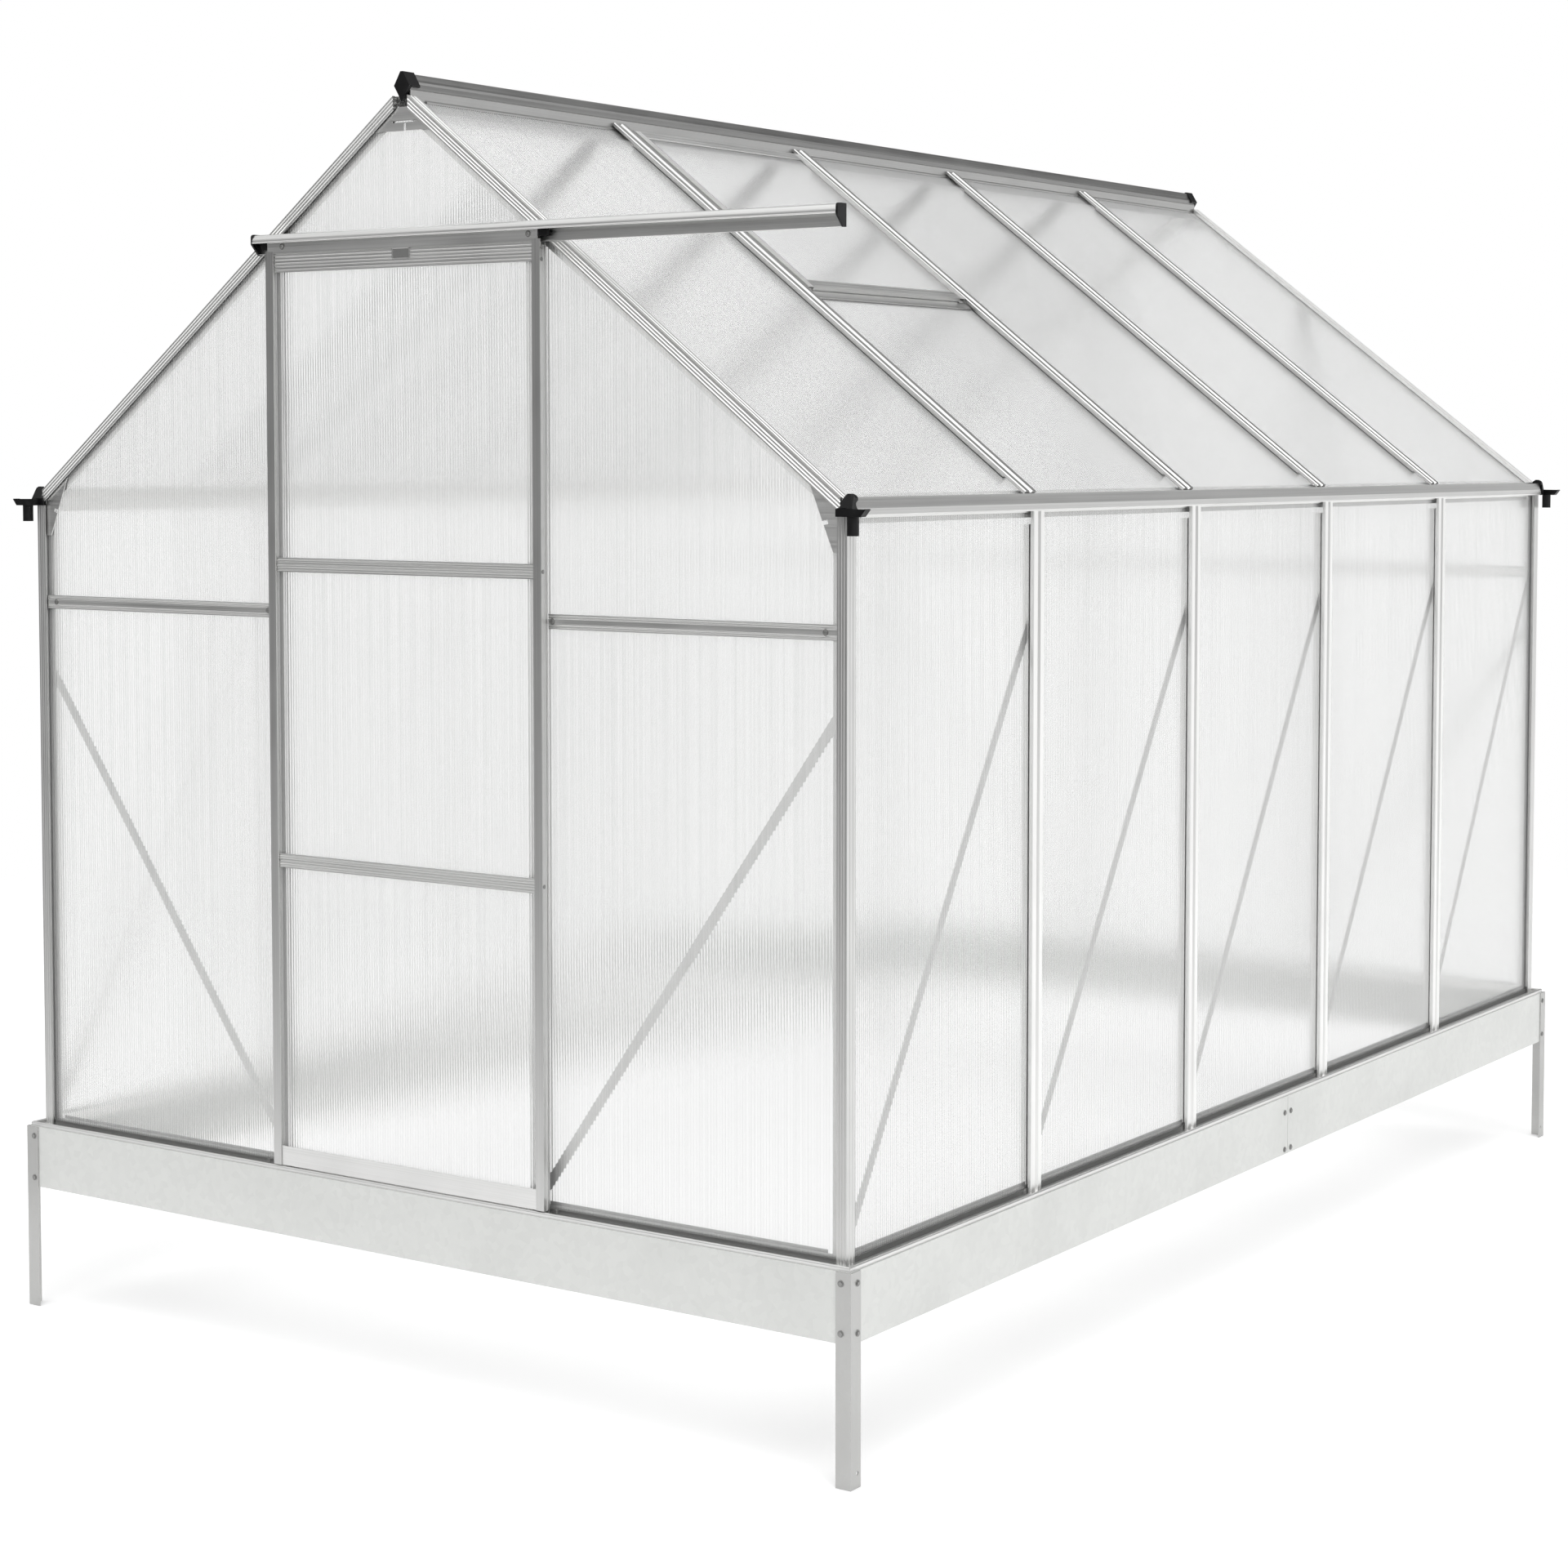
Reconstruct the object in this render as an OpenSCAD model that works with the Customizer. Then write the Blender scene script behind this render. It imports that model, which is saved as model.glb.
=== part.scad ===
// Hobby greenhouse: aluminium bar frame, twin-wall sheets, hanging sliding door,
// one roof vent, and a folded steel base on four corner stakes.
// Front is -Y, the long side runs along Y, and Z = 0 is the foot of the stakes.

/* [House] */
// Width over the corner posts
frame_w = 1900; // [1800:10:2000]
// Length over the corner posts
frame_l = 3100; // [2500:10:3700]
// Height of the gutter floor above the sill
eave_h = 1230; // [1150:5:1300]
// Height of the roof's outer planes at the ridge line, above the sill
apex_h = 1980; // [1950:5:2020]
// Number of bays along the side
bays = 5; // [4:1:6]

/* [Base] */
// Length of a corner stake, up to the top of the base
stake_h = 360; // [300:5:420]
// Leg width of the stake angle
stake_leg = 30; // [25:1:40]
// Thickness of the stake angle
stake_t = 2.5; // [2:0.5:4]
// Height of the folded base sheet
base_h = 120; // [90:5:150]
// How far the stakes stand outside the corner posts
base_out = 26; // [26:1:30]
// Thickness of the base sheet
base_t = 1.5; // [1:0.5:2.5]
// Place of the sheet splice, measured from the middle of the side
splice_s = 90; // [0:10:200]

/* [Glazing] */
// Thickness of a glazing sheet
sheet_t = 4; // [4:1:6]
// Width of a glazing bar's outer cap
cap_w = 38; // [30:2:44]
// Height of a ribbed cross rail
rail_h = 26; // [22:1:30]
// Middle height of the wall's cross rail above the sill
rail_w = 1041; // [950:1:1080]

/* [Door] */
// Width of the door leaf
door_w = 644; // [600:2:680]
// Height of the door leaf's foot above the sill
door_foot = 10; // [9:1:14]
// Depth of a door stile
door_t = 13; // [11:1:14]
// How far the shut leaf stands to the right of the doorway's middle
door_x = 10; // [0:1:15]
// Face width of a door stile
stile_w = 18; // [16:1:24]
// Left end of the hanging track
track_left = -342; // [-350:1:-340]
// Right end of the hanging track
track_right = 948; // [946:1:960]

/* [Vent] */
// Bay that holds the roof vent, counted from the front
vent_bay = 2; // [2:1:3]
// Length of the vent down the slope
vent_l = 514; // [450:2:600]

/* [Hidden] */
$fn = 32;
// Free space between parts that only lie beside each other
gap = 0.2;
// Reach of cutting bodies
far = 4000;
half_w = frame_w / 2;
half_l = frame_l / 2;
sill_z = stake_h;
bay = frame_l / bays;
studs = [for (k = [1 : bays - 1]) k * bay - half_l];
// Half width of the door bay, to the middle of the door posts
post_x = door_w / 2 - 13;

// Depth of the sheets' seat behind a wall's or slope's outer plane, and the bars' wall thickness
seat_d = 8;
wall_t = 2;
// Depth of a glazing bar's stem and width of its rear flange
stem_d = 28;
flange_w = 24;
// How far the beads of a glazing bar's cap stand out of the outer plane
cap_bead = 4;
// Height of the sill's grooves, and how far the gutter's and ridge's flanges reach
groove_h = 16;
lip_h = 10;
flange_reach = 24;
flange_end = 53;

// How far the gutter stands outside the wall, and where the roof bars end inside it
gutter_out = 12;
// Depth behind the gable's outer plane where the gutter begins
gutter_from = 14;
eave_d = 14;
pitch = atan((apex_h - eave_h - 20) / half_w);
slope_len = (half_w - eave_d) / cos(pitch);
ridge_half = 14;
// Depths of the ridge cap's face and of the ridge tube's end behind the gable's outer plane
ridge_cap_front = 5;
ridge_cap_back = 13;

// Face width of a vent bar, its height over the roof's plane, and its clearance from the roof bars
vent_bar = 22;
vent_rise = 4;
vent_clear = 3;

// Door levels above the sill, from foot to track
door_d = -19;
track_w = 1696;
door_top = track_w + 26;
top_rail_h = 60;
bottom_rail_h = 36;
wheel_r = 14;
track_h = 36;
track_wall = 1.8;
track_cap = 4;

// Frames of reference

// A wall seen from outside: X runs along it, Y goes inward from its outer plane, Z is height above the sill
module on_wall(side) {
    turn = side == "front" ? 0 : side == "right" ? 90 : side == "back" ? 180 : 270;
    out = (side == "front" || side == "back") ? half_l : half_w;
    translate([0, 0, sill_z]) rotate([0, 0, turn]) translate([0, -out, 0]) children();
}

// A roof slope: X runs down it from the ridge line, Y is the house's Y, Z is the outward normal
module on_roof(side) {
    turn = side == "right" ? 0 : 180;
    rotate([0, 0, turn]) translate([0, 0, sill_z + apex_h]) rotate([0, pitch, 0]) children();
}

// Half the length of a wall
function half_run(side) = (side == "front" || side == "back") ? half_w : half_l;
// Height above the sill of a line that lies n below the roof's outer plane, at x from the middle
function roof_w(x, n) = apex_h - abs(x) * tan(pitch) - n / cos(pitch);

// Extrudes a section drawn as (depth, height) along the wall, from s0 to s1
module run(s0, s1) {
    translate([s0, 0, 0]) rotate([90, 0, 90]) linear_extrude(s1 - s0) children();
}

// Extrudes a face drawn as (along the wall, height) through depths d0 to d1
module slab(d0, d1) {
    translate([0, d1, 0]) rotate([90, 0, 0]) linear_extrude(d1 - d0) children();
}

module box(x0, x1, y0, y1) {
    translate([x0, y0]) square([x1 - x0, y1 - y0]);
}

// Cuts a run to 45 degree mitres at both corners of its wall
module mitred(side) {
    reach = 60;
    out = half_run(side) - gap / 2 + reach;
    in = out - 2 * reach;
    intersection() {
        children();
        translate([0, 0, -far]) linear_extrude(2 * far)
            polygon([[-out, -reach], [out, -reach], [in, reach], [-in, reach]]);
    }
}

// Sections of the extrusions

// V grooves that leave ribs on a flat face from x0 to x1, cut from y = 0 downwards
module rib_grooves(x0, x1, count, depth = 1.2, half = 1.4) {
    pitch_x = (x1 - x0) / count;
    mouth = half * (1 + 1 / depth);
    for (k = [0 : count - 1]) translate([x0 + (k + 0.5) * pitch_x, 0])
        polygon([[-mouth, -1], [mouth, -1], [0, depth]]);
}

// Outer cap of a gable's glazing bar: flat, with three grooves
module flat_cap_section() {
    difference() {
        box(-cap_w / 2, cap_w / 2, 0, 2.5);
        rib_grooves(-cap_w / 2 + 4, cap_w / 2 - 4, 3);
    }
}

// Outer cap of a side's or roof's glazing bar: two broad beads with a channel between them
module cap_plate_section() {
    top = -cap_bead;
    half = cap_w / 2;
    box(-half, half, 0, 2.5);
    for (m = [0, 1]) mirror([m, 0])
        polygon([[3, 0.5], [3, 0], [6, top], [half - 1.5, top], [half, top + 1.5], [half, 0.5]]);
}

// Rest of a glazing bar: lips on the sheets, stem, rear flange and bead
module bar_section() {
    for (m = [0, 1]) mirror([m, 0]) box(cap_w / 2 - 8 - wall_t, cap_w / 2 - 8, 2, seat_d);
    box(-1.5, 1.5, 2, stem_d);
    box(-flange_w / 2, flange_w / 2, seat_d + sheet_t, seat_d + sheet_t + wall_t);
    box(-4, 4, stem_d - wall_t, stem_d);
}

// Corner extrusion as (depth from the side plane, depth from the end plane): ribbed outer faces only
module corner_face_section() {
    difference() {
        union() {
            box(0, 20, 0, 2.5);
            box(0, 2.5, 0, 25);
        }
        rib_grooves(2, 18.5, 3);
        mirror([1, -1]) rib_grooves(4.5, 22.5, 2);
    }
}

// Corner extrusion with the lips, webs and flanges that hold the sheets of both planes
module corner_section() {
    back_d = seat_d + sheet_t;
    corner_face_section();
    box(15, 17, 2, seat_d);
    box(2, seat_d, 20, 22);
    box(2, 9, seat_d - 3.5, seat_d - 1.5);
    box(7, 9, seat_d - 3.5, back_d + wall_t);
    box(7, 34, back_d, back_d + wall_t);
    box(back_d, back_d + wall_t, back_d, 42);
}

// Base and stakes

module base_section() {
    box(-base_out + stake_t, 30, -base_t, 0);
    box(-base_out + stake_t, -base_out + stake_t + base_t, -base_h, 0);
    box(-base_out + stake_t, 0, -base_h, -base_h + base_t);
    box(-base_t, 0, -base_h, -base_h + 10);
}

module base_run(side) {
    color("gainsboro") on_wall(side) mitred(side) run(-far / 2, far / 2) base_section();
}

// A long side of the base is two lengths that meet at the splice
module base_side(side) {
    s = side == "right" ? splice_s : -splice_s;
    difference() {
        base_run(side);
        on_wall(side) slab(-100, 100) box(s - 0.5, s + 0.5, -base_h - 10, 10);
    }
}

module base_splices() {
    inner = -base_out + stake_t + base_t;
    color("silver") for (side = ["left", "right"]) {
        s = side == "right" ? splice_s : -splice_s;
        on_wall(side) slab(inner, inner + 2) box(s - 60, s + 60, -base_h + 12, -base_t - 4);
    }
}

// Angle stakes outside the base corners, down to the ground, with a peg hole near the foot
module corner_stakes() {
    color("silver") for (mx = [0, 1], my = [0, 1]) mirror([mx, 0, 0]) mirror([0, my, 0])
        translate([-half_w - base_out, -half_l - base_out, 0]) difference() {
            linear_extrude(stake_h) {
                square([stake_leg, stake_t]);
                square([stake_t, stake_leg]);
            }
            translate([-1, 20, 25]) rotate([0, 90, 0]) cylinder(d = 7, h = stake_t + 2);
        }
}

// Sill, posts and studs

// Sill extrusion: rounded nosing, floor, and a groove for the sheets
module sill_section() {
    nose = -20;
    hull() {
        box(nose, nose + 6, 0, 5);
        translate([nose + 3, 5]) circle(3);
    }
    box(nose, 30, 0, wall_t);
    box(6, seat_d - gap, 0, lip_h);
    box(seat_d + sheet_t + gap, seat_d + sheet_t + wall_t, 0, groove_h);
}

module sill(side) {
    color("silver") on_wall(side) mitred(side) run(-far / 2, far / 2) sill_section();
}

module corner_posts() {
    color("silver") for (mx = [0, 1], my = [0, 1]) mirror([mx, 0, 0]) mirror([0, my, 0])
        translate([-half_w, -half_l, sill_z]) {
            translate([0, 0, wall_t]) linear_extrude(eave_h - wall_t) corner_face_section();
            translate([0, 0, groove_h]) linear_extrude(eave_h - groove_h) corner_section();
        }
}

// Upright glazing bar on a side wall, from the sill floor to the gutter
module stud() {
    translate([0, 0, wall_t]) linear_extrude(eave_h - wall_t) cap_plate_section();
    translate([0, 0, groove_h]) linear_extrude(eave_h - flange_reach - groove_h) bar_section();
}

module wall_studs(side) {
    color("silver") on_wall(side) for (s = studs) translate([s, 0, 0]) stud();
}

// Upright of a gable end, cut to the slope under the rafter
module end_post() {
    slope_cut = 20;
    rear_cut = 34;
    rear_d = seat_d + sheet_t;
    for (zone = [[0, rear_d, slope_cut], [rear_d, stem_d, rear_cut]])
        intersection() {
            union() {
                translate([0, 0, wall_t]) linear_extrude(apex_h) flat_cap_section();
                translate([0, 0, groove_h]) linear_extrude(apex_h) bar_section();
            }
            slab(zone[0], zone[1])
                polygon([[-cap_w, 0], [cap_w, 0], [cap_w, roof_w(post_x + cap_w, zone[2])],
                         [-cap_w, roof_w(post_x - cap_w, zone[2])]]);
        }
}

module end_posts(side) {
    color("silver") on_wall(side) for (m = [0, 1]) mirror([m, 0, 0]) translate([post_x, 0, 0]) end_post();
}

// Cross rails of the gable ends

// Rail between the sheets above and below it, with two grooves along each edge
module rail_section() {
    difference() {
        box(seat_d - 3, seat_d, -rail_h / 2, rail_h / 2);
        for (m = [0, 1]) translate([seat_d - 3, 0]) mirror([0, m]) mirror([1, -1])
            rib_grooves(rail_h / 2 - 9, rail_h / 2 - 1, 2);
    }
}

module rail_core_section() {
    box(seat_d, seat_d + sheet_t + wall_t, -1.5, 1.5);
    box(seat_d + sheet_t, seat_d + sheet_t + wall_t, -10, 10);
}

module mid_rail(s0, s1, in0, in1) {
    translate([0, 0, rail_w]) {
        run(s0, s1) rail_section();
        run(s0 + in0, s1 - in1) rail_core_section();
    }
}

// Rail in the bay between a post and the corner
module bay_rail() {
    mid_rail(post_x + cap_w / 2 + gap, half_w - 20 - gap, 0, 15);
}

module front_mid_rails() {
    color("silver") on_wall("front") for (m = [0, 1]) mirror([m, 0, 0]) bay_rail();
}

module back_mid_rails() {
    color("silver") on_wall("back") {
        for (m = [0, 1]) mirror([m, 0, 0]) bay_rail();
        mid_rail(-post_x + cap_w / 2 + gap, post_x - cap_w / 2 - gap, 0, 0);
    }
}

// Eaves

// Trough, hollow back and floor of the gutter, as (depth, height above the gutter floor's underside)
module gutter_core_section() {
    top = roof_w(half_w - eave_d, 0) - eave_h;
    outer = -gutter_out;
    box(outer + 2, eave_d, 0, wall_t);
    polygon([[outer, 3], [outer + 3, 0], [outer + 3, 3], [outer + 2, 4], [outer + 4.1, 12], [outer + 10, 27],
             [outer + 8, 28], [outer + 2, 13]]);
    polygon([[2, wall_t], [4, wall_t], [eave_d, top - 3], [eave_d, top], [eave_d - 3, top]]);
    box(eave_d - wall_t, eave_d, 0, top);
}

// Flanges that hold the tops of the wall sheets and the feet of the roof sheets
module gutter_flange_section() {
    n0 = seat_d + sheet_t;
    box(6, seat_d - gap, -3, 1);
    box(seat_d + sheet_t + gap, seat_d + sheet_t + wall_t, -12, 1);
    polygon([for (p = [[eave_d - 1, n0], [eave_d + flange_reach, n0], [eave_d + flange_reach, n0 + wall_t],
                       [eave_d - 1, n0 + wall_t]]) [p[0], roof_w(half_w - p[0], p[1]) - eave_h]]);
}

module gutter(side) {
    color("silver") on_wall(side) translate([0, 0, eave_h]) {
        run(gutter_from - half_l, half_l - gutter_from) gutter_core_section();
        run(flange_end - half_l, half_l - flange_end) gutter_flange_section();
    }
}

// Outline of the gutter that its plastic end covers
module outlet_cap_section() {
    inner = eave_d - gap;
    polygon([[-gutter_out, 0], [inner, 0], [inner, 26], [9, 33], [3, 37], [-3, 37], [-9, 34], [-12, 30],
             [-11.5, 26], [-8, 22], [-8, 14], [-gutter_out, 12]]);
}

// Plastic gutter end, drawn at the front left corner: hood over the end, drip tray outside it, and a spout
module gutter_outlet() {
    tray = 48;
    spout = [-17, -9];
    difference() {
        union() {
            hull() {
                slab(-4, -3) box(-gutter_out, eave_d - gap, 0, 13);
                slab(6, 7) outlet_cap_section();
            }
            slab(6, gutter_from) outlet_cap_section();
            slab(-4, 0) polygon([[0, 0], [20, 0], [20, 6], [17, 14], [0, 14]]);
            slab(-20, -4) polygon([[-tray + 10, 0], [10, 0], [10, 13], [8, 13], [8, 2.5], [-tray + 11, 2.5],
                                   [-tray + 2, 13], [-tray, 12]]);
            slab(-20, -18) polygon([[-tray + 10, 0], [10, 0], [10, 13], [-tray + 1, 12.5]]);
            translate([spout[0], spout[1], -31]) cylinder(r = 10, h = 31);
        }
        translate([spout[0], spout[1], -40]) cylinder(r = 8, h = 41);
    }
}

module gutter_outlets() {
    color("#1c1c1e") for (mx = [0, 1], my = [0, 1]) mirror([mx, 0, 0]) mirror([0, my, 0])
        translate([-half_w, -half_l, sill_z + eave_h]) gutter_outlet();
}

// Ridge

module ridge_tube_outline() {
    side = [[ridge_half, -16], [ridge_half, -3], [ridge_half - 1.2, -2], [ridge_half, -1],
            [ridge_half - 1.5, 8], [8.5, 13], [6, 20], [3, 27]];
    polygon(concat(side, [for (k = [len(side) - 1 : -1 : 0]) [-side[k][0], side[k][1]]]));
}

module ridge_core_section() {
    difference() {
        ridge_tube_outline();
        offset(delta = -2) ridge_tube_outline();
    }
    for (m = [0, 1]) mirror([m, 0]) box(ridge_half - wall_t, ridge_half, -32, -15);
}

// Sloping flanges above and below the top edges of the roof sheets
module ridge_flange_section() {
    n0 = seat_d + sheet_t;
    for (m = [0, 1], f = [[seat_d - wall_t, seat_d, 4], [n0, n0 + wall_t, flange_reach]]) mirror([m, 0])
        polygon([for (p = [[ridge_half - 1, f[0]], [ridge_half + f[2], f[0]], [ridge_half + f[2], f[1]],
                           [ridge_half - 1, f[1]]]) [p[0], roof_w(p[0], p[1]) - apex_h]]);
}

module ridge_bar() {
    color("silver") translate([0, half_l, sill_z + apex_h]) rotate([90, 0, 0]) {
        translate([0, 0, ridge_cap_back]) linear_extrude(frame_l - 2 * ridge_cap_back) ridge_core_section();
        translate([0, 0, flange_end]) linear_extrude(frame_l - 2 * flange_end) ridge_flange_section();
    }
}

// Lozenge cap on each end of the ridge, with a skirt over the tube
module ridge_end_caps() {
    color("#1c1c1e") for (my = [0, 1]) mirror([0, my, 0]) translate([0, -half_l, sill_z + apex_h]) {
        slab(ridge_cap_front, ridge_cap_back) polygon([[0, -24], [18, 5], [3, 30], [-3, 30], [-18, 5]]);
        slab(ridge_cap_back, ridge_cap_back + 22) difference() {
            polygon([[17, 2], [18, 5], [3, 30], [-3, 30], [-18, 5], [-17, 2]]);
            offset(delta = gap) ridge_tube_outline();
        }
    }
}

// Rafters and roof bars

// Corner extrusion up the slope of a gable, trimmed at the ridge and on the post
module rafter() {
    top = ridge_half + 3;
    foot = half_w - eave_d;
    intersection() {
        on_roof("right") translate([0, -half_l, 0]) run(0, half_w * 2) rotate(-90) corner_section();
        translate([0, far, sill_z]) rotate([90, 0, 0]) linear_extrude(2 * far)
            polygon([[top, eave_h], [foot, eave_h], [foot, far], [top, far]]);
    }
}

module front_rafters() {
    color("silver") for (m = [0, 1]) mirror([m, 0, 0]) rafter();
}

module back_rafters() {
    mirror([0, 1, 0]) front_rafters();
}

// Glazing bar down the slope; its cap alone laps the ridge and the gutter
module roof_bar(s) {
    top_t = (ridge_half + 2) / cos(pitch);
    full_t0 = (ridge_half + flange_reach + 2) / cos(pitch) + stem_d;
    full_t1 = slope_len - flange_reach / cos(pitch) - stem_d;
    translate([0, s, 0]) mirror([0, 0, 1]) {
        run(top_t, slope_len - 2) cap_plate_section();
        run(full_t0, full_t1) bar_section();
    }
}

module roof_bars(side) {
    color("silver") on_roof(side) for (s = studs) roof_bar(s);
}

// Gussets and braces

// Notched plate in the corner between a post and a rafter
module eave_gusset() {
    edge = half_w - 20 - gap;
    up = edge - 57;
    n = 20 + gap;
    foot = eave_h - 59;
    difference() {
        polygon([[edge, foot], [edge, roof_w(edge, n)], [up, roof_w(up, n)], [up + 2, roof_w(up, n + 5)],
                 [edge - 11, foot]]);
        translate([edge - 35, eave_h - 12]) rotate(12) square([28, 7], center = true);
    }
}

module eave_gussets() {
    color("silver") for (side = ["front", "back"], m = [0, 1])
        on_wall(side) mirror([m, 0, 0]) slab(seat_d - wall_t, seat_d) eave_gusset();
}

// Triangular plate under the ridge, with a slot and two bolt holes
module ridge_gussets() {
    foot = roof_w(0, 0) - 75;
    tip = roof_w(0, 0) - 33;
    reach = (roof_w(0, 20.5) - foot) / tan(pitch);
    tip_reach = (roof_w(0, 20.5) - tip) / tan(pitch);
    color("silver") for (side = ["front", "back"]) on_wall(side) slab(seat_d - wall_t, seat_d)
        difference() {
            polygon([[-reach, foot], [reach, foot], [tip_reach, tip], [-tip_reach, tip]]);
            translate([4, foot + 16]) square([56, 3], center = true);
            translate([6, foot]) square([5, 26], center = true);
        }
}

// Flat strip from (s0, w0) to (s1, w1) with upright ends
module brace(d, s0, w0, s1, w1) {
    width = 18;
    rise = width / cos(atan((w1 - w0) / (s1 - s0))) / 2;
    slab(d, d + wall_t) polygon([[s0, w0 - rise], [s1, w1 - rise], [s1, w1 + rise], [s0, w0 + rise]]);
}

module end_braces() {
    d = seat_d + sheet_t + wall_t;
    color("silver") for (side = ["front", "back"], m = [0, 1])
        on_wall(side) mirror([m, 0, 0]) brace(d, post_x + 2, 40, half_w - eave_d - 1, 918);
}

module side_braces() {
    d = seat_d + sheet_t + wall_t;
    ends = concat([24 - half_l], studs, [half_l - 24]);
    color("silver") for (side = ["left", "right"], k = [0 : bays - 1]) {
        s0 = ends[k] + 2;
        s1 = ends[k + 1] - 2;
        on_wall(side) mirror([side == "right" ? 0 : 1, 0, 0]) brace(d, s0, 38, s1, 1036);
    }
}

// Glazing sheets

// Height of a sheet's sloping top edge in a gable, inside the rafter's groove
function sheet_top(x) = roof_w(x, 10);
// Half the width of the stem between two sheets
function stem_clear() = 1.5 + 1;

// Sheets beside the door or in the outer bays of the back: below and above the cross rail
module bay_sheets() {
    x0 = post_x + stem_clear();
    x1 = half_w - eave_d - 0.5;
    box(x0, x1, wall_t, rail_w - 2);
    polygon([[x0, rail_w + 2], [x1, rail_w + 2], [x1, sheet_top(x1)], [x0, sheet_top(x0)]]);
}

module end_sheets(side) {
    color([0.92, 0.95, 0.96, 0.5]) on_wall(side) slab(seat_d, seat_d + sheet_t) {
        for (m = [0, 1]) mirror([m, 0]) bay_sheets();
        children();
    }
}

// Gable sheet between the end posts, cut off level below the ridge
module gable_sheet(w0, half) {
    level = apex_h - 40;
    tip = (sheet_top(0) - level) / tan(pitch);
    polygon([[-half, w0], [half, w0], [half, sheet_top(half)], [tip, level], [-tip, level],
             [-half, sheet_top(half)]]);
}

module front_panels() {
    end_sheets("front") gable_sheet(track_w - 4, post_x - stem_clear());
}

module back_panels() {
    inner = post_x - stem_clear();
    end_sheets("back") {
        box(-inner, inner, wall_t, rail_w - 2);
        gable_sheet(rail_w + 2, inner);
    }
}

// Depth behind the gable's outer plane where the sides' sheets begin
end_clear = 16;
// Sheet of bay k along a side, between the stems of its bars
function bay_from(k) = k == 0 ? end_clear - half_l : studs[k - 1] + stem_clear();
function bay_to(k) = k == bays - 1 ? half_l - end_clear : studs[k] - stem_clear();

module wall_panels(side) {
    color([0.92, 0.95, 0.96, 0.5]) on_wall(side) for (k = [0 : bays - 1])
        slab(seat_d, seat_d + sheet_t) box(bay_from(k), bay_to(k), wall_t, eave_h - wall_t);
}

module roof_panels(side) {
    top_t = (ridge_half + 1) / cos(pitch) + 10;
    color([0.92, 0.95, 0.96, 0.5]) on_roof(side) for (k = [0 : bays - 1]) {
        t0 = (side == "right" && k == vent_bay - 1) ? vent_t1() + 4 : top_t;
        translate([t0, bay_from(k), -seat_d - sheet_t])
            cube([slope_len - 8 - t0, bay_to(k) - bay_from(k), sheet_t]);
    }
}

// Roof vent on the right slope

function vent_t0() = (ridge_half + 12) / cos(pitch) + 8;
function vent_t1() = vent_t0() + vent_l;
function vent_s0() = studs[vent_bay - 2] + cap_w / 2 + vent_clear;
function vent_s1() = studs[vent_bay - 1] - cap_w / 2 - vent_clear;

// Vent bar section: outer plate, outer wall and a groove for the sheet, as (inward from the edge, normal)
module vent_bar_section() {
    difference() {
        box(0, vent_bar, vent_rise - 1.5, vent_rise);
        translate([0, vent_rise]) mirror([0, 1]) rib_grooves(3, vent_bar - 2, 2, 0.6);
    }
    box(0, 2, -seat_d, vent_rise);
    box(0, vent_bar - 6, -3.5, -2);
}

module vent_frame() {
    s0 = vent_s0();
    s1 = vent_s1();
    t0 = vent_t0();
    t1 = vent_t1();
    color("silver") on_roof("right") {
        for (end = [[t0, 0], [t1, 1]]) translate([end[0], s0 + vent_bar + gap, 0]) mirror([end[1], 0, 0])
            rotate([-90, -90, 0]) linear_extrude(s1 - s0 - 2 * (vent_bar + gap))
                rotate(-90) mirror([1, 0]) vent_bar_section();
        for (end = [[s0, 0], [s1, 1]]) translate([t0, end[0], 0]) mirror([0, end[1], 0])
            run(0, t1 - t0) vent_bar_section();
    }
}

module vent_panel() {
    inset = 3;
    color([0.92, 0.95, 0.96, 0.5]) on_roof("right")
        translate([vent_t0() + inset, vent_s0() + inset, -2])
            cube([vent_l - 2 * inset, vent_s1() - vent_s0() - 2 * inset, sheet_t]);
}

// Cross bar that the vent closes on and that caps the sheet below it
module vent_sill() {
    s0 = studs[vent_bay - 2] + cap_w / 2 + gap;
    s1 = studs[vent_bay - 1] - cap_w / 2 - gap;
    t = vent_t1();
    color("silver") on_roof("right") {
        translate([t + 2, s0, -seat_d]) cube([20, s1 - s0, 3]);
        translate([t - 22, s0, -seat_d - sheet_t - 3]) cube([44, s1 - s0, 3]);
        translate([t + 1, s0, -seat_d - sheet_t - 1]) cube([2, s1 - s0, sheet_t + 2]);
    }
}

// Sliding door and its track

// Beam over the doorway, between the door posts
module door_header() {
    half = post_x - cap_w / 2 - gap;
    color("silver") on_wall("front") run(-half, half) translate([0, track_w]) {
        box(0, 2.5, -6, 18);
        box(0, seat_d + sheet_t + wall_t, -6, -4);
        box(seat_d - 2, seat_d - gap, -6, 18);
        box(seat_d + sheet_t + gap, seat_d + sheet_t + wall_t, -6, 9);
    }
}

// Hooded channel: back wall on the rafters and door posts, wheel ledge below, round hood above
module track_section() {
    front = -base_out;
    round_r = 11;
    box(-track_wall, 0, 0, track_h);
    box(-8.5, 0, 0, track_wall);
    box(front + round_r, 0, track_h - track_wall, track_h);
    translate([front + round_r, track_h - round_r]) difference() {
        circle(round_r);
        circle(round_r - track_wall);
        box(0, 15, -15, 15);
        box(-15, 15, -15, 0);
    }
    box(front, front + track_wall, track_h - 15, track_h - round_r);
    translate([front + 0.3, track_h - 14.5]) circle(1.5);
}

module door_track() {
    color("silver") on_wall("front") translate([0, 0, track_w])
        run(track_left + track_cap, track_right - track_cap) track_section();
}

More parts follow.
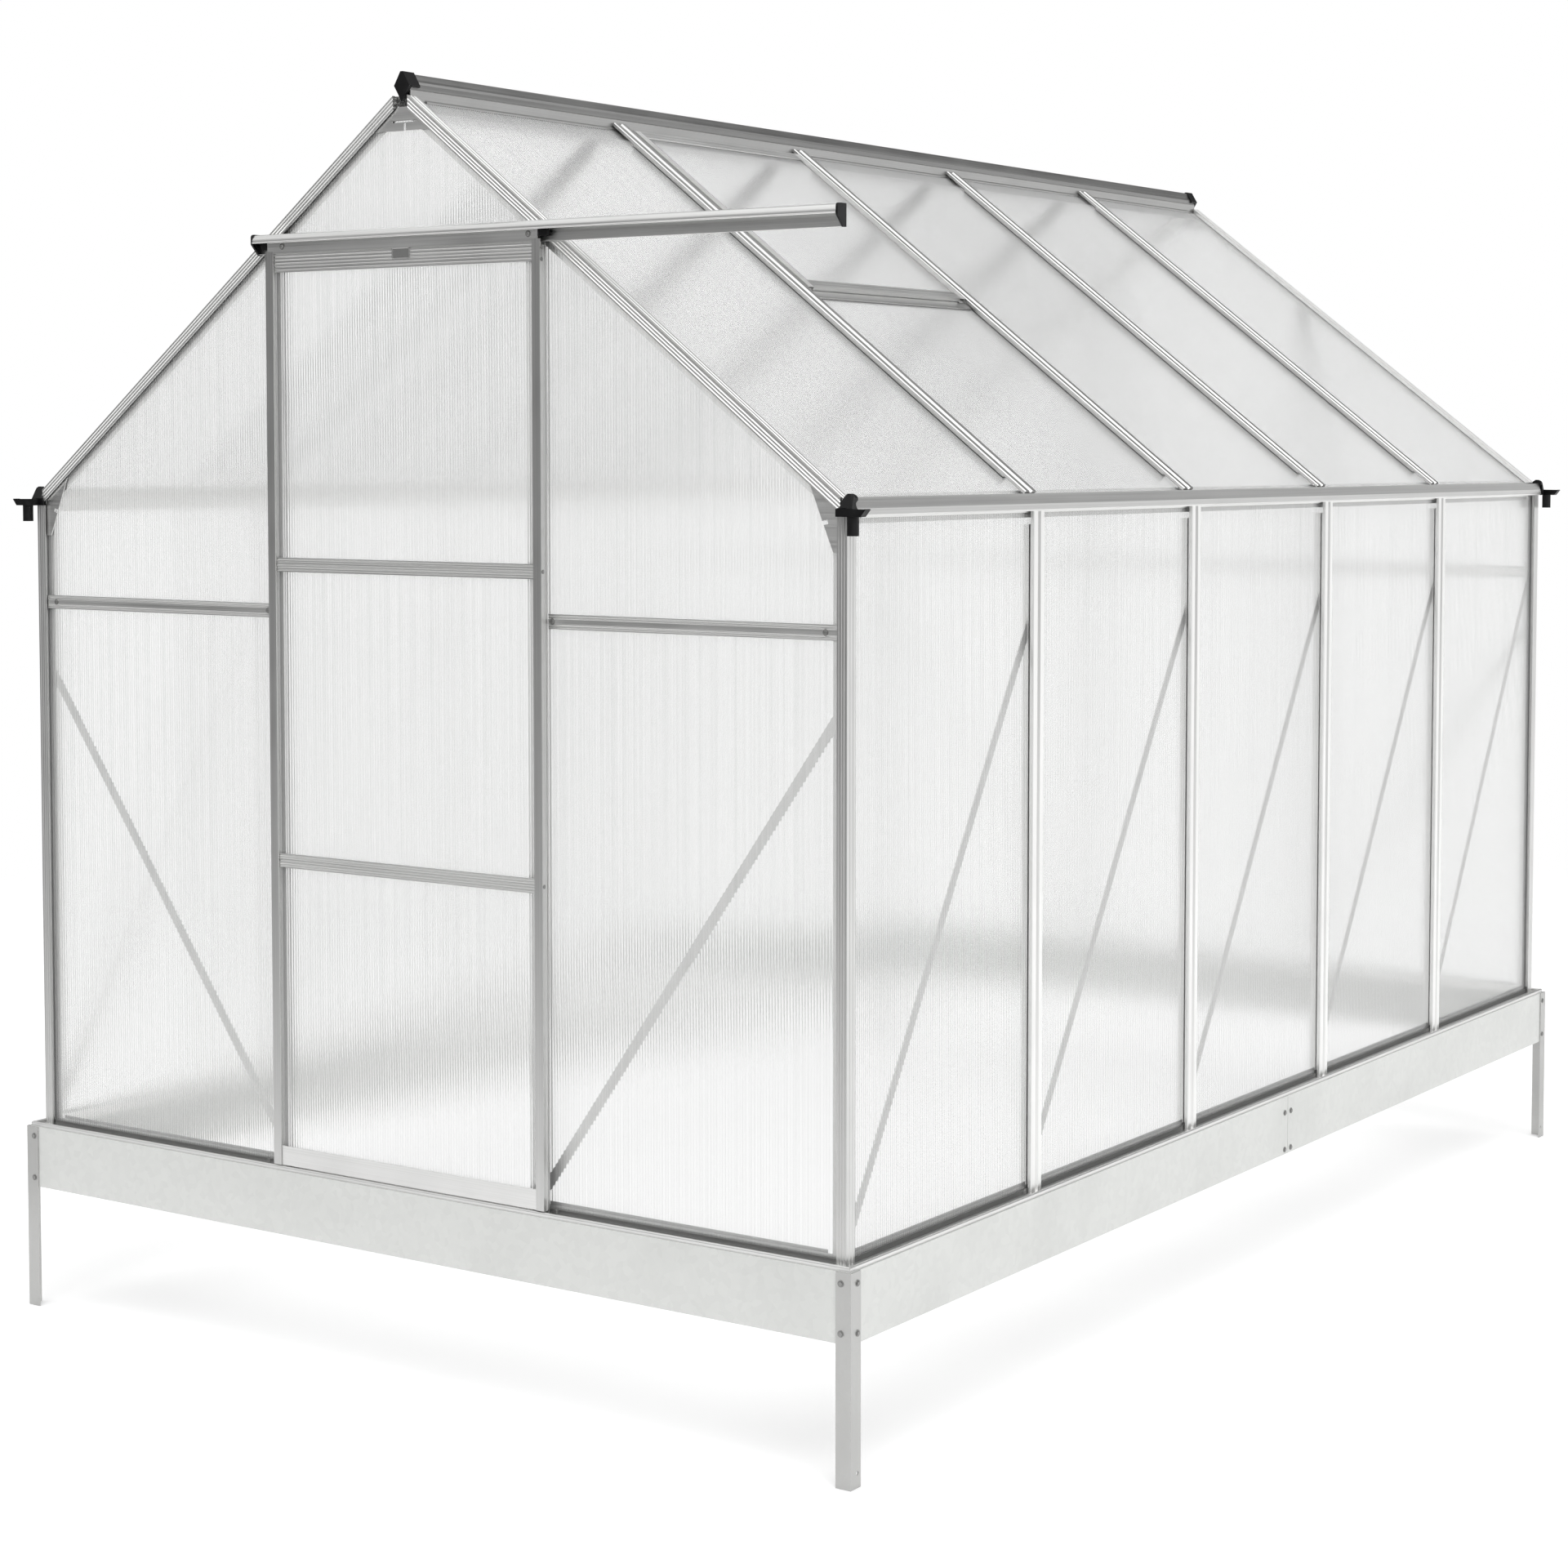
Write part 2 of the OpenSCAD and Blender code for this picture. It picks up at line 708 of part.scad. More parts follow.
module track_end_caps() {
    color("#1c1c1e") on_wall("front") translate([0, 0, track_w])
        for (s = [track_left, track_right - track_cap]) run(s, s + track_cap) hull() {
            box(-8, 0, -1, track_h + 1);
            translate([-base_out + 6, track_h - 5]) circle(6);
            translate([-base_out + 4, 20]) circle(4);
        }
}

// The door leaf, drawn about its own middle
module on_door() {
    on_wall("front") translate([door_x, 0, 0]) children();
}

// Stile: flat face with returns that hold the rails and sheets
module stile_section() {
    box(0, stile_w, 0, 2);
    difference() {
        box(0, 2, 0, door_t);
        mirror([1, -1]) rib_grooves(7, 11, 1, 0.8, 0.9);
    }
    box(0, stile_w - 6, door_t - 2, door_t);
    box(stile_w - 8, stile_w - 6, 2, 5.5);
    box(stile_w - 8, stile_w - 6, door_t - 3, door_t);
}

module door_stiles() {
    color("silver") on_door() for (m = [0, 1]) mirror([m, 0, 0])
        translate([-door_w / 2, door_d, door_foot]) {
            linear_extrude(track_w - 6 - door_foot) stile_section();
            linear_extrude(track_w + 4 - door_foot) box(0, stile_w, 0, 2);
        }
}

// Ribbed rail of the door, as (depth, height) with a groove above and below for the sheets
module door_rail_section(h, ribs) {
    difference() {
        box(door_d + 3, door_d + 5.5, -h / 2, h / 2);
        translate([door_d + 3, 0]) mirror([1, -1]) rib_grooves(-h / 2 + 1, h / 2 - 1, ribs);
    }
    box(door_d + 5, door_d + door_t, -1.5, 1.5);
    box(door_d + door_t - 2.5, door_d + door_t, -h / 2 + 2, h / 2 - 2);
}

function door_inner() = door_w / 2 - stile_w;
// Middle heights of the two cross rails, which split the leaf into three equal sheets
function door_clear() = door_top - top_rail_h - door_foot - bottom_rail_h;
function door_sheet() = (door_clear() - 2 * rail_h) / 3;
function door_rail_at(k) = door_foot + bottom_rail_h + k * door_sheet() + (k - 0.5) * rail_h;

module door_mid_rails() {
    half = door_inner();
    color("silver") on_door() for (k = [1, 2])
        translate([0, 0, door_rail_at(k)]) run(-half + gap, half - gap) door_rail_section(rail_h, 5);
}

// Deep top rail: ribbed lower face, plain hanger plate above it in front of the track
module door_top_rail() {
    half = door_inner();
    h = top_rail_h - 22;
    color("silver") on_door() {
        translate([0, 0, door_top - top_rail_h + h / 2]) run(-half + gap, half - gap) difference() {
            door_rail_section(h, 6);
            box(door_d + 5.5, door_d + 20, h / 2 - 14, h);
        }
        translate([0, 0, track_w + 4]) slab(door_d, door_d + 2)
            box(5 - door_w / 2, door_w / 2 - 5, gap, door_top - track_w - 4);
        translate([0, 0, track_w]) slab(door_d, door_d + 5.5) box(-half + gap, half - gap, 0, 4 + gap);
    }
}

module door_bottom_rail() {
    half = door_inner();
    color("silver") on_door() run(-half + gap, half - gap) translate([0, door_foot]) {
        box(door_d + 2.5, door_d + 4.5, 0, bottom_rail_h);
        box(door_d + 2.5, door_d + door_t, 0, 2);
        box(door_d + door_t - 2, door_d + door_t, 0, bottom_rail_h - 6);
    }
}

module door_panels() {
    half = door_inner() + 6;
    d0 = door_d + 6;
    clear = door_sheet();
    color([0.92, 0.95, 0.96, 0.5]) on_door() for (k = [0 : 2]) {
        w0 = door_foot + bottom_rail_h + k * (clear + rail_h);
        slab(d0, d0 + sheet_t) box(-half, half, w0 - (k == 0 ? 20 : 11), w0 + clear + 11);
    }
}

// Nylon carriage behind the hanger plate, with a wheel on the track's ledge
module door_rollers() {
    ledge = track_w + track_wall + 0.3;
    wheel_d = door_d + 11;
    at = door_w / 2 - 32;
    color("#1c1c1e") on_door() for (m = [0, 1]) mirror([m, 0, 0]) {
        slab(door_d + 2, wheel_d) hull() {
            translate([at - 20, track_w + 14]) circle(6);
            translate([at + 40, track_w + 14]) circle(6);
            translate([at - 20, track_w + 17]) circle(6);
            translate([at + 40, track_w + 17]) circle(6);
        }
        translate([at, wheel_d, ledge + wheel_r]) rotate([-90, 0, 0]) cylinder(r = wheel_r, h = 5);
    }
}

base_run("front");  // base_front
base_run("back");  // base_back
base_side("left");  // base_left
base_side("right");  // base_right
base_splices();
corner_stakes();
sill("front");  // sill_front
sill("back");  // sill_back
sill("left");  // sill_left
sill("right");  // sill_right
corner_posts();
wall_studs("left");  // left_studs
wall_studs("right");  // right_studs
end_posts("front");  // door_posts
end_posts("back");  // back_posts
front_mid_rails();
back_mid_rails();
gutter("left");  // gutter_left
gutter("right");  // gutter_right
gutter_outlets();
ridge_bar();
ridge_end_caps();
front_rafters();
back_rafters();
roof_bars("left");  // left_roof_bars
roof_bars("right");  // right_roof_bars
eave_gussets();
ridge_gussets();
end_braces();
side_braces();
front_panels();
back_panels();
wall_panels("left");  // left_wall_panels
wall_panels("right");  // right_wall_panels
roof_panels("left");  // left_roof_panels
roof_panels("right");  // right_roof_panels
vent_frame();
vent_panel();
vent_sill();
door_header();
door_track();
track_end_caps();
door_stiles();
door_top_rail();
door_mid_rails();
door_bottom_rail();
door_panels();
door_rollers();
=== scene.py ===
"""Finishes and fine parts of a hobby greenhouse.

Ribbed sheets, bolts, a blank plate, dark strips of painted shade at the sheets' foot, metal and plastic
finishes with some bars painted darker or lighter for light and shade, and a stage.
"""

import math

import bmesh
import bpy
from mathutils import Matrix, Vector


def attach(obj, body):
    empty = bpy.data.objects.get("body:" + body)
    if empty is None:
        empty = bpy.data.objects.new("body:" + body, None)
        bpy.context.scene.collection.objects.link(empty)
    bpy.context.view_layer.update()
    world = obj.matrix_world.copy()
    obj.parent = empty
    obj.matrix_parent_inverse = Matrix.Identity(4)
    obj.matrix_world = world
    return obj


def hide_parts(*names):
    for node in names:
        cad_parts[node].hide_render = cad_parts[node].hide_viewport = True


bl_info = {
    "name": "Greenhouse finishes",
    "version": (1, 0, 0),
    "blender": (4, 5, 0),
    "location": "View3D > Sidebar > Greenhouse",
    "description": "Builds the ribbed sheets, the bolts and the finishes of a greenhouse",
    "category": "Object",
}

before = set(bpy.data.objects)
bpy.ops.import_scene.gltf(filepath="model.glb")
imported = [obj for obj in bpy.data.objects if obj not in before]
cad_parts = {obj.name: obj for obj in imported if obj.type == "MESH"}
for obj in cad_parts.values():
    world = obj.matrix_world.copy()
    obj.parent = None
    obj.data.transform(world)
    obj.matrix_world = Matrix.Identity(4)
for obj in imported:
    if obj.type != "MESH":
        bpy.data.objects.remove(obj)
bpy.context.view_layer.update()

# Sizes of the house that the pieces follow, in metres
HALF_W = 0.95
HALF_L = 1.55
SILL = 0.36
EAVE = 1.23
APEX = 1.98
BAYS = 5
PITCH = math.atan((APEX - EAVE - 0.02) / HALF_W)
SLOPE = (HALF_W - 0.014) / math.cos(PITCH)
POST_X = 0.309
RAIL_Z = 1.041
TRACK_Z = 1.696
SHEET_D = 0.010
STEM_GAP = 0.0025
EDGE_GAP = 0.002
FACETS = 6
CORNER_LAP = 0.016
CORNER_STEM = 0.0145
RIDGE_HALF = 0.015
RIDGE_CUT = 0.04
STUDS = [k * 2 * HALF_L / BAYS - HALF_L for k in range(1, BAYS)]
DOOR_X = 0.010
DOOR_HALF = 0.304
DOOR_FOOT = 0.046
DOOR_TOP = 1.662
DOOR_RAIL = 0.026
DOOR_PANE = (DOOR_TOP - DOOR_FOOT - 2 * DOOR_RAIL) / 3
DOOR_LAP = 0.011
DOOR_D = -0.011
VENT_BAY = 1
VENT_TOP = 0.026 / math.cos(PITCH) + 0.008
VENT_LEN = 0.514
VENT_EDGE = 0.025
VENT_LAP = 0.003
SHADE_STRIP_D = 0.0044


class GreenhouseSizes(bpy.types.PropertyGroup):
    """Sizes of the fine parts."""

    rib_pitch: bpy.props.FloatProperty(
        name="Rib pitch", description="Width of one flute of the sheet", default=0.006, unit="LENGTH")
    rib_bulge: bpy.props.FloatProperty(
        name="Rib bulge", description="How far a flute swells between its webs", default=0.00065,
        unit="LENGTH")
    sheet_thickness: bpy.props.FloatProperty(
        name="Sheet thickness", description="Thickness of a sheet", default=0.004, unit="LENGTH")
    bolt_radius: bpy.props.FloatProperty(
        name="Bolt radius", description="Radius of a bolt's head", default=0.0043, unit="LENGTH")
    bolt_height: bpy.props.FloatProperty(
        name="Bolt height", description="Height of a bolt's head", default=0.0032, unit="LENGTH")
    screw_radius: bpy.props.FloatProperty(
        name="Screw radius", description="Radius of a screw's head", default=0.004, unit="LENGTH")


class GreenhouseColours(bpy.types.PropertyGroup):
    """Colours of the finishes."""

    alloy: bpy.props.FloatVectorProperty(
        name="Aluminium", description="Mill finish of the bars", subtype="COLOR", default=(0.86, 0.86, 0.85))
    steel: bpy.props.FloatVectorProperty(
        name="Zinc", description="Zinc coat of the base", subtype="COLOR", default=(0.8, 0.81, 0.79))
    stake: bpy.props.FloatVectorProperty(
        name="Stake zinc", description="Bright zinc of the stakes", subtype="COLOR",
        default=(0.58, 0.58, 0.57))
    plastic: bpy.props.FloatVectorProperty(
        name="Plastic", description="Black end caps", subtype="COLOR", default=(0.004, 0.004, 0.0045))
    sheet: bpy.props.FloatVectorProperty(
        name="Sheet", description="Clear twin-wall sheet", subtype="COLOR", default=(0.985, 0.987, 0.985))
    floor: bpy.props.FloatVectorProperty(
        name="Floor", description="Studio floor", subtype="COLOR", default=(0.9, 0.9, 0.9))


# Node trees


class Tree:
    """Adds nodes to a node tree, with each input a plain value or the socket that feeds it."""

    def __init__(self, tree):
        self.tree = tree

    def add(self, kind, inputs=None, **settings):
        node = self.tree.nodes.new(kind)
        for name, value in settings.items():
            setattr(node, name, value)
        for key, value in (inputs or {}).items():
            if isinstance(value, bpy.types.NodeSocket):
                self.tree.links.new(value, node.inputs[key])
            else:
                node.inputs[key].default_value = value
        return node

    def math(self, operation, a, b=0.0, c=0.0):
        return self.add("ShaderNodeMath", {0: a, 1: b, 2: c}, operation=operation).outputs[0]

    def vector(self, operation, a, b=(0.0, 0.0, 0.0), c=(0.0, 0.0, 0.0)):
        return self.add("ShaderNodeVectorMath", {0: a, 1: b, 2: c}, operation=operation).outputs[0]

    def ranged(self, value, low, high, to_low, to_high):
        node = self.add("ShaderNodeMapRange", {
            "Value": value, "From Min": low, "From Max": high, "To Min": to_low, "To Max": to_high})
        return node.outputs[0]

    def mixed(self, factor, a, b):
        node = self.add("ShaderNodeMix", {0: factor, 6: a, 7: b}, data_type="RGBA")
        return node.outputs[2]


def new_material(name):
    """A material with its tree, its Principled shader and its object coordinates."""
    material = bpy.data.materials.new(name)
    material.use_nodes = True
    tree = Tree(material.node_tree)
    shader = material.node_tree.nodes["Principled BSDF"]
    place = tree.add("ShaderNodeTexCoord").outputs["Object"]
    return material, tree, shader, place


def rgba(colour, shade=1.0):
    return (colour[0] * shade, colour[1] * shade, colour[2] * shade, 1.0)


def extruded_alloy(name, colour, turn, mirrored=False):
    """Mill-finish aluminium with die lines along the bar, which runs along X once turned back."""
    material, tree, shader, place = new_material(name)
    if mirrored:
        parts = tree.add("ShaderNodeSeparateXYZ", {0: place})
        folded = tree.add("ShaderNodeCombineXYZ", {
            0: tree.math("ABSOLUTE", parts.outputs[0]), 1: parts.outputs[1], 2: parts.outputs[2]})
        place = folded.outputs[0]
    turned = tree.add("ShaderNodeMapping", {"Vector": place, "Rotation": turn})
    drawn = tree.add("ShaderNodeMapping", {"Vector": turned.outputs[0], "Scale": (1.2, 420.0, 420.0)})
    lines = tree.add("ShaderNodeTexNoise", {"Vector": drawn.outputs[0], "Scale": 1.0, "Detail": 1.0})
    cloud = tree.add("ShaderNodeTexNoise", {"Vector": place, "Scale": 7.0, "Detail": 2.0})
    drawn_tone = tree.ranged(lines.outputs[0], 0.3, 0.7, 0.0, 1.0)
    shade = tree.mixed(drawn_tone, rgba(colour, 0.93), rgba(colour, 1.05))
    dulled = tree.mixed(tree.ranged(cloud.outputs[0], 0.42, 0.7, 0.0, 0.25), shade, rgba(colour, 0.86))
    tree.tree.links.new(dulled, shader.inputs["Base Color"])
    rough = tree.math("ADD", tree.ranged(lines.outputs[0], 0.3, 0.7, 0.30, 0.40),
                      tree.ranged(cloud.outputs[0], 0.35, 0.7, 0.0, 0.07))
    tree.tree.links.new(rough, shader.inputs["Roughness"])
    shader.inputs["Metallic"].default_value = 1.0
    bump = tree.add("ShaderNodeBump", {"Strength": 0.12, "Distance": 0.0004, "Height": lines.outputs[0]})
    tree.tree.links.new(bump.outputs[0], shader.inputs["Normal"])
    return material


def zinc_coat(name, colour, metallic):
    """Hot-dip zinc: flat crystals of differing sheen, with faint smudges."""
    material, tree, shader, place = new_material(name)
    warp = tree.add("ShaderNodeTexNoise", {"Vector": place, "Scale": 30.0, "Detail": 1.0})
    shifted = tree.vector("MULTIPLY_ADD", warp.outputs["Color"], (0.02, 0.02, 0.02), place)
    spangle = tree.add("ShaderNodeTexVoronoi", {"Vector": shifted, "Scale": 75.0})
    crystal = tree.add("ShaderNodeSeparateColor", {0: spangle.outputs["Color"]}).outputs[0]
    smudge = tree.add("ShaderNodeTexNoise", {"Vector": place, "Scale": 5.0, "Detail": 3.0})
    shade = tree.mixed(crystal, rgba(colour, 0.96), rgba(colour, 1.03))
    worn = tree.mixed(tree.ranged(smudge.outputs[0], 0.5, 0.75, 0.0, 0.3), shade, rgba(colour, 0.85))
    tree.tree.links.new(worn, shader.inputs["Base Color"])
    rough = tree.math("ADD", tree.ranged(crystal, 0.0, 1.0, 0.36, 0.50),
                      tree.ranged(smudge.outputs[0], 0.4, 0.75, 0.0, 0.08))
    tree.tree.links.new(rough, shader.inputs["Roughness"])
    shader.inputs["Metallic"].default_value = metallic
    bump = tree.add("ShaderNodeBump", {"Strength": 0.1, "Distance": 0.0005, "Height": crystal})
    tree.tree.links.new(bump.outputs[0], shader.inputs["Normal"])
    return material


def moulded_plastic(name, colour):
    """Black moulded plastic with a fine grain and slightly paler rubbed places."""
    material, tree, shader, place = new_material(name)
    grain = tree.add("ShaderNodeTexNoise", {"Vector": place, "Scale": 900.0, "Detail": 2.0})
    rub = tree.add("ShaderNodeTexNoise", {"Vector": place, "Scale": 60.0, "Detail": 3.0})
    shade = tree.mixed(tree.ranged(rub.outputs[0], 0.5, 0.8, 0.0, 1.0), rgba(colour), rgba(colour, 2.2))
    tree.tree.links.new(shade, shader.inputs["Base Color"])
    tree.tree.links.new(tree.ranged(rub.outputs[0], 0.3, 0.8, 0.36, 0.55), shader.inputs["Roughness"])
    shader.inputs["Specular IOR Level"].default_value = 0.3
    bump = tree.add("ShaderNodeBump", {"Strength": 0.15, "Distance": 0.0003, "Height": grain.outputs[0]})
    tree.tree.links.new(bump.outputs[0], shader.inputs["Normal"])
    return material


def clear_sheet(name, colour):
    """Clear twin-wall sheet: light passes between faint webs, and streaks run along the flutes."""
    material, tree, shader, _ = new_material(name)
    web = tree.add("ShaderNodeAttribute", attribute_name="web").outputs["Fac"]
    streak = tree.add("ShaderNodeAttribute", attribute_name="streak").outputs["Fac"]
    shade = tree.mixed(streak, rgba(colour, 0.93), rgba(colour))
    lined = tree.mixed(tree.math("MULTIPLY", web, 0.6), shade, rgba(colour, 0.95))
    tree.tree.links.new(lined, shader.inputs["Base Color"])
    tree.tree.links.new(tree.ranged(web, 0.0, 1.0, 0.12, 0.15), shader.inputs["Roughness"])
    shader.inputs["IOR"].default_value = 1.4
    shader.inputs["Transmission Weight"].default_value = 0.91
    return material


# Shapes grown by geometry nodes


def new_tree(name, inputs):
    """An empty geometry tree with a geometry input, the named inputs, and a geometry output."""
    group = bpy.data.node_groups.new(name, "GeometryNodeTree")
    group.interface.new_socket("Geometry", in_out="INPUT", socket_type="NodeSocketGeometry")
    for label, kind in inputs.items():
        group.interface.new_socket(label, in_out="INPUT", socket_type="NodeSocket" + kind)
    group.interface.new_socket("Geometry", in_out="OUTPUT", socket_type="NodeSocketGeometry")
    tree = Tree(group)
    given = tree.add("NodeGroupInput").outputs
    return tree, given


def rib_tree():
    """One sheet between two feet: a closed slab whose faces swell between the webs."""
    tree, given = new_tree("Ribbed sheet", {
        "Foot A": "Vector", "Foot B": "Vector", "Rise A": "Vector", "Rise B": "Vector", "Outward": "Vector",
        "Thickness": "Float", "Pitch": "Float", "Bulge": "Float", "Facets": "Int", "Peak": "Float",
        "Cut": "Float", "Finish": "Material"})
    along = tree.vector("SUBTRACT", given["Foot B"], given["Foot A"])
    length = tree.add("ShaderNodeVectorMath", {0: along}, operation="LENGTH").outputs["Value"]
    ribs = tree.math("ROUND", tree.math("DIVIDE", length, given["Pitch"]))
    columns = tree.math("ADD", tree.math("MULTIPLY", ribs, given["Facets"]), 1.0)
    slab = tree.add("GeometryNodeMeshCube", {
        "Size": (1.0, 1.0, 1.0), "Vertices X": columns, "Vertices Y": 2, "Vertices Z": 2}).outputs["Mesh"]
    spot = tree.add("ShaderNodeSeparateXYZ", {0: tree.add("GeometryNodeInputPosition").outputs[0]})
    across = tree.math("ADD", spot.outputs[0], 0.5)
    up = tree.math("ADD", spot.outputs[2], 0.5)
    phase = tree.math("MULTIPLY", tree.math("MULTIPLY", across, ribs), math.tau)
    web = tree.math("MULTIPLY_ADD", tree.math("COSINE", phase), 0.5, 0.5)
    marked = tree.add("GeometryNodeStoreNamedAttribute", {
        "Geometry": slab, "Name": "web", "Value": tree.math("POWER", web, 2.0)}, data_type="FLOAT")
    shift = tree.add("ShaderNodeVectorMath", {
        0: given["Foot A"], 1: (17.0, 31.0, 7.0)}, operation="DOT_PRODUCT").outputs["Value"]
    flute = tree.add("ShaderNodeCombineXYZ", {
        0: tree.math("MULTIPLY_ADD", tree.math("MULTIPLY", across, ribs), 1.4, shift),
        1: tree.math("MULTIPLY", up, 0.6)})
    noise = tree.add("ShaderNodeTexNoise", {
        "Vector": flute.outputs[0], "Scale": 1.0, "Detail": 1.0}, noise_dimensions="2D").outputs[0]
    fluted = tree.add("GeometryNodeStoreNamedAttribute", {
        "Geometry": marked.outputs[0], "Name": "streak", "Value": tree.ranged(noise, 0.35, 0.6, 0.0, 1.0)},
        data_type="FLOAT")
    half = tree.math("SUBTRACT", tree.math("MULTIPLY", given["Thickness"], 0.5),
                     tree.math("MULTIPLY", web, given["Bulge"]))
    depth = tree.math("MULTIPLY", tree.math("SIGN", spot.outputs[1]), half)
    foot = tree.vector("MULTIPLY_ADD", along, across, given["Foot A"])
    rise = tree.vector("MULTIPLY_ADD", tree.vector("SUBTRACT", given["Rise B"], given["Rise A"]), across,
                       given["Rise A"])
    from_side = tree.math("ABSOLUTE", tree.math("MULTIPLY", spot.outputs[0], 2.0))
    gable = tree.math("MULTIPLY", given["Peak"], tree.math("SUBTRACT", 1.0, from_side))
    crest = tree.add("ShaderNodeCombineXYZ", {2: tree.math("MINIMUM", gable, given["Cut"])})
    upright = tree.vector("MULTIPLY_ADD", tree.vector("ADD", rise, crest.outputs[0]), up, foot)
    final = tree.vector("MULTIPLY_ADD", given["Outward"], depth, upright)
    placed = tree.add("GeometryNodeSetPosition", {"Geometry": fluted.outputs[0], "Position": final})
    smooth = tree.add("GeometryNodeSetShadeSmooth", {"Geometry": placed.outputs[0], "Shade Smooth": True})
    angle = tree.add("GeometryNodeInputMeshEdgeAngle").outputs["Unsigned Angle"]
    sharp = tree.math("GREATER_THAN", angle, 1.0)
    creased = tree.add("GeometryNodeStoreNamedAttribute", {
        "Geometry": smooth.outputs[0], "Name": "sharp_edge", "Value": sharp},
        data_type="BOOLEAN", domain="EDGE")
    joined = tree.add("GeometryNodeJoinGeometry")
    tree.tree.links.new(creased.outputs[0], joined.inputs[0])
    tree.tree.links.new(given["Geometry"], joined.inputs[0])
    real = tree.add("GeometryNodeRealizeInstances", {0: joined.outputs[0]})
    painted = tree.add("GeometryNodeSetMaterial", {"Geometry": real.outputs[0], "Material": given["Finish"]})
    tree.add("NodeGroupOutput", {0: painted.outputs[0]})
    return tree.tree


def bolt_tree():
    """A hexagon head on a round washer at each point, facing the way that the point says."""
    tree, given = new_tree("Bolt heads", {
        "Radius": "Float", "Height": "Float", "Sides": "Int", "Finish": "Material"})
    washer_h = tree.math("MULTIPLY", given["Height"], 0.3)
    washer = tree.add("GeometryNodeMeshCylinder", {
        "Vertices": 20, "Radius": tree.math("MULTIPLY", given["Radius"], 1.35), "Depth": washer_h})
    washer_up = tree.add("ShaderNodeCombineXYZ", {2: tree.math("MULTIPLY", washer_h, 0.5)})
    seated = tree.add("GeometryNodeTransform", {
        "Geometry": washer.outputs["Mesh"], "Translation": washer_up.outputs[0]})
    body_h = tree.math("MULTIPLY", given["Height"], 0.75)
    head = tree.add("GeometryNodeMeshCylinder", {
        "Vertices": given["Sides"], "Radius": given["Radius"], "Depth": body_h})
    head_up = tree.add("ShaderNodeCombineXYZ", {2: tree.math("MULTIPLY", body_h, 0.5)})
    headed = tree.add("GeometryNodeTransform", {
        "Geometry": head.outputs["Mesh"], "Translation": head_up.outputs[0]})
    crown = tree.add("GeometryNodeMeshCone", {
        "Vertices": given["Sides"], "Radius Bottom": given["Radius"],
        "Radius Top": tree.math("MULTIPLY", given["Radius"], 0.72),
        "Depth": tree.math("SUBTRACT", given["Height"], body_h)})
    crown_up = tree.add("ShaderNodeCombineXYZ", {2: body_h})
    crowned = tree.add("GeometryNodeTransform", {
        "Geometry": crown.outputs["Mesh"], "Translation": crown_up.outputs[0]})
    whole = tree.add("GeometryNodeJoinGeometry")
    for part in (seated, headed, crowned):
        tree.tree.links.new(part.outputs[0], whole.inputs[0])
    facing = tree.add("GeometryNodeInputNamedAttribute", {"Name": "facing"}, data_type="FLOAT_VECTOR")
    turn = tree.add("FunctionNodeAlignRotationToVector", {"Vector": facing.outputs[0]}, axis="Z")
    spread = tree.add("GeometryNodeInstanceOnPoints", {
        "Points": given["Geometry"], "Instance": whole.outputs[0], "Rotation": turn.outputs[0]})
    real = tree.add("GeometryNodeRealizeInstances", {0: spread.outputs[0]})
    painted = tree.add("GeometryNodeSetMaterial", {"Geometry": real.outputs[0], "Material": given["Finish"]})
    tree.add("NodeGroupOutput", {0: painted.outputs[0]})
    return tree.tree


def grown(name, start, steps):
    """An object whose plain mesh is what the trees in steps make of the start mesh."""
    holder = bpy.data.objects.new(name + "_start", start)
    bpy.context.scene.collection.objects.link(holder)
    for group, values in steps:
        modifier = holder.modifiers.new(group.name, "NODES")
        modifier.node_group = group
        keys = {item.name: item.identifier for item in group.interface.items_tree if item.in_out == "INPUT"}
        for label, value in values.items():
            modifier[keys[label]] = value
    graph = bpy.context.evaluated_depsgraph_get()
    made = bpy.data.meshes.new_from_object(holder.evaluated_get(graph))
    made.name = name
    holder.modifiers.clear()
    bpy.data.objects.remove(holder)
    piece = bpy.data.objects.new(name, made)
    bpy.context.scene.collection.objects.link(piece)
    return piece


# Places on the house


def roof_z(x, below):
    """Height above the sill of the line that lies below the roof's outer plane, at x from the middle."""
    return APEX - abs(x) * math.tan(PITCH) - below / math.cos(PITCH)


def on_slope(side, down, along, out):
    """A point on a roof slope; side is 1 for the right slope and -1 for the left."""
    x = down * math.cos(PITCH) + out * math.sin(PITCH)
    z = SILL + APEX - down * math.sin(PITCH) + out * math.cos(PITCH)
    return Vector((side * x, along, z))


def bay_edges(k):
    """The two ends along Y of the sheet in bay k."""
    low = CORNER_LAP - HALF_L if k == 0 else STUDS[k - 1] + STEM_GAP
    high = HALF_L - CORNER_LAP if k == BAYS - 1 else STUDS[k] - STEM_GAP
    return low, high


def side_strips(side):
    """Sheets of a long wall; side is 1 for the right wall and -1 for the left."""
    strips = []
    x = side * (HALF_W - SHEET_D)
    rise = Vector((0, 0, EAVE - 2 * EDGE_GAP))
    for k in range(BAYS):
        low, high = bay_edges(k)
        feet = [Vector((x, y, SILL + EDGE_GAP)) for y in (low, high)]
        strips.append((*feet, rise, rise, (side, 0, 0)))
    return strips


def end_strip(end, depth, x0, x1, z0, top0, top1):
    """One sheet of a gable between x0 and x1, with its top at heights top0 and top1 above the sill."""
    y = end * (HALF_L - depth)
    return (Vector((x0, y, SILL + z0)), Vector((x1, y, SILL + z0)), Vector((0, 0, top0 - z0)),
            Vector((0, 0, top1 - z0)), (0, end, 0))


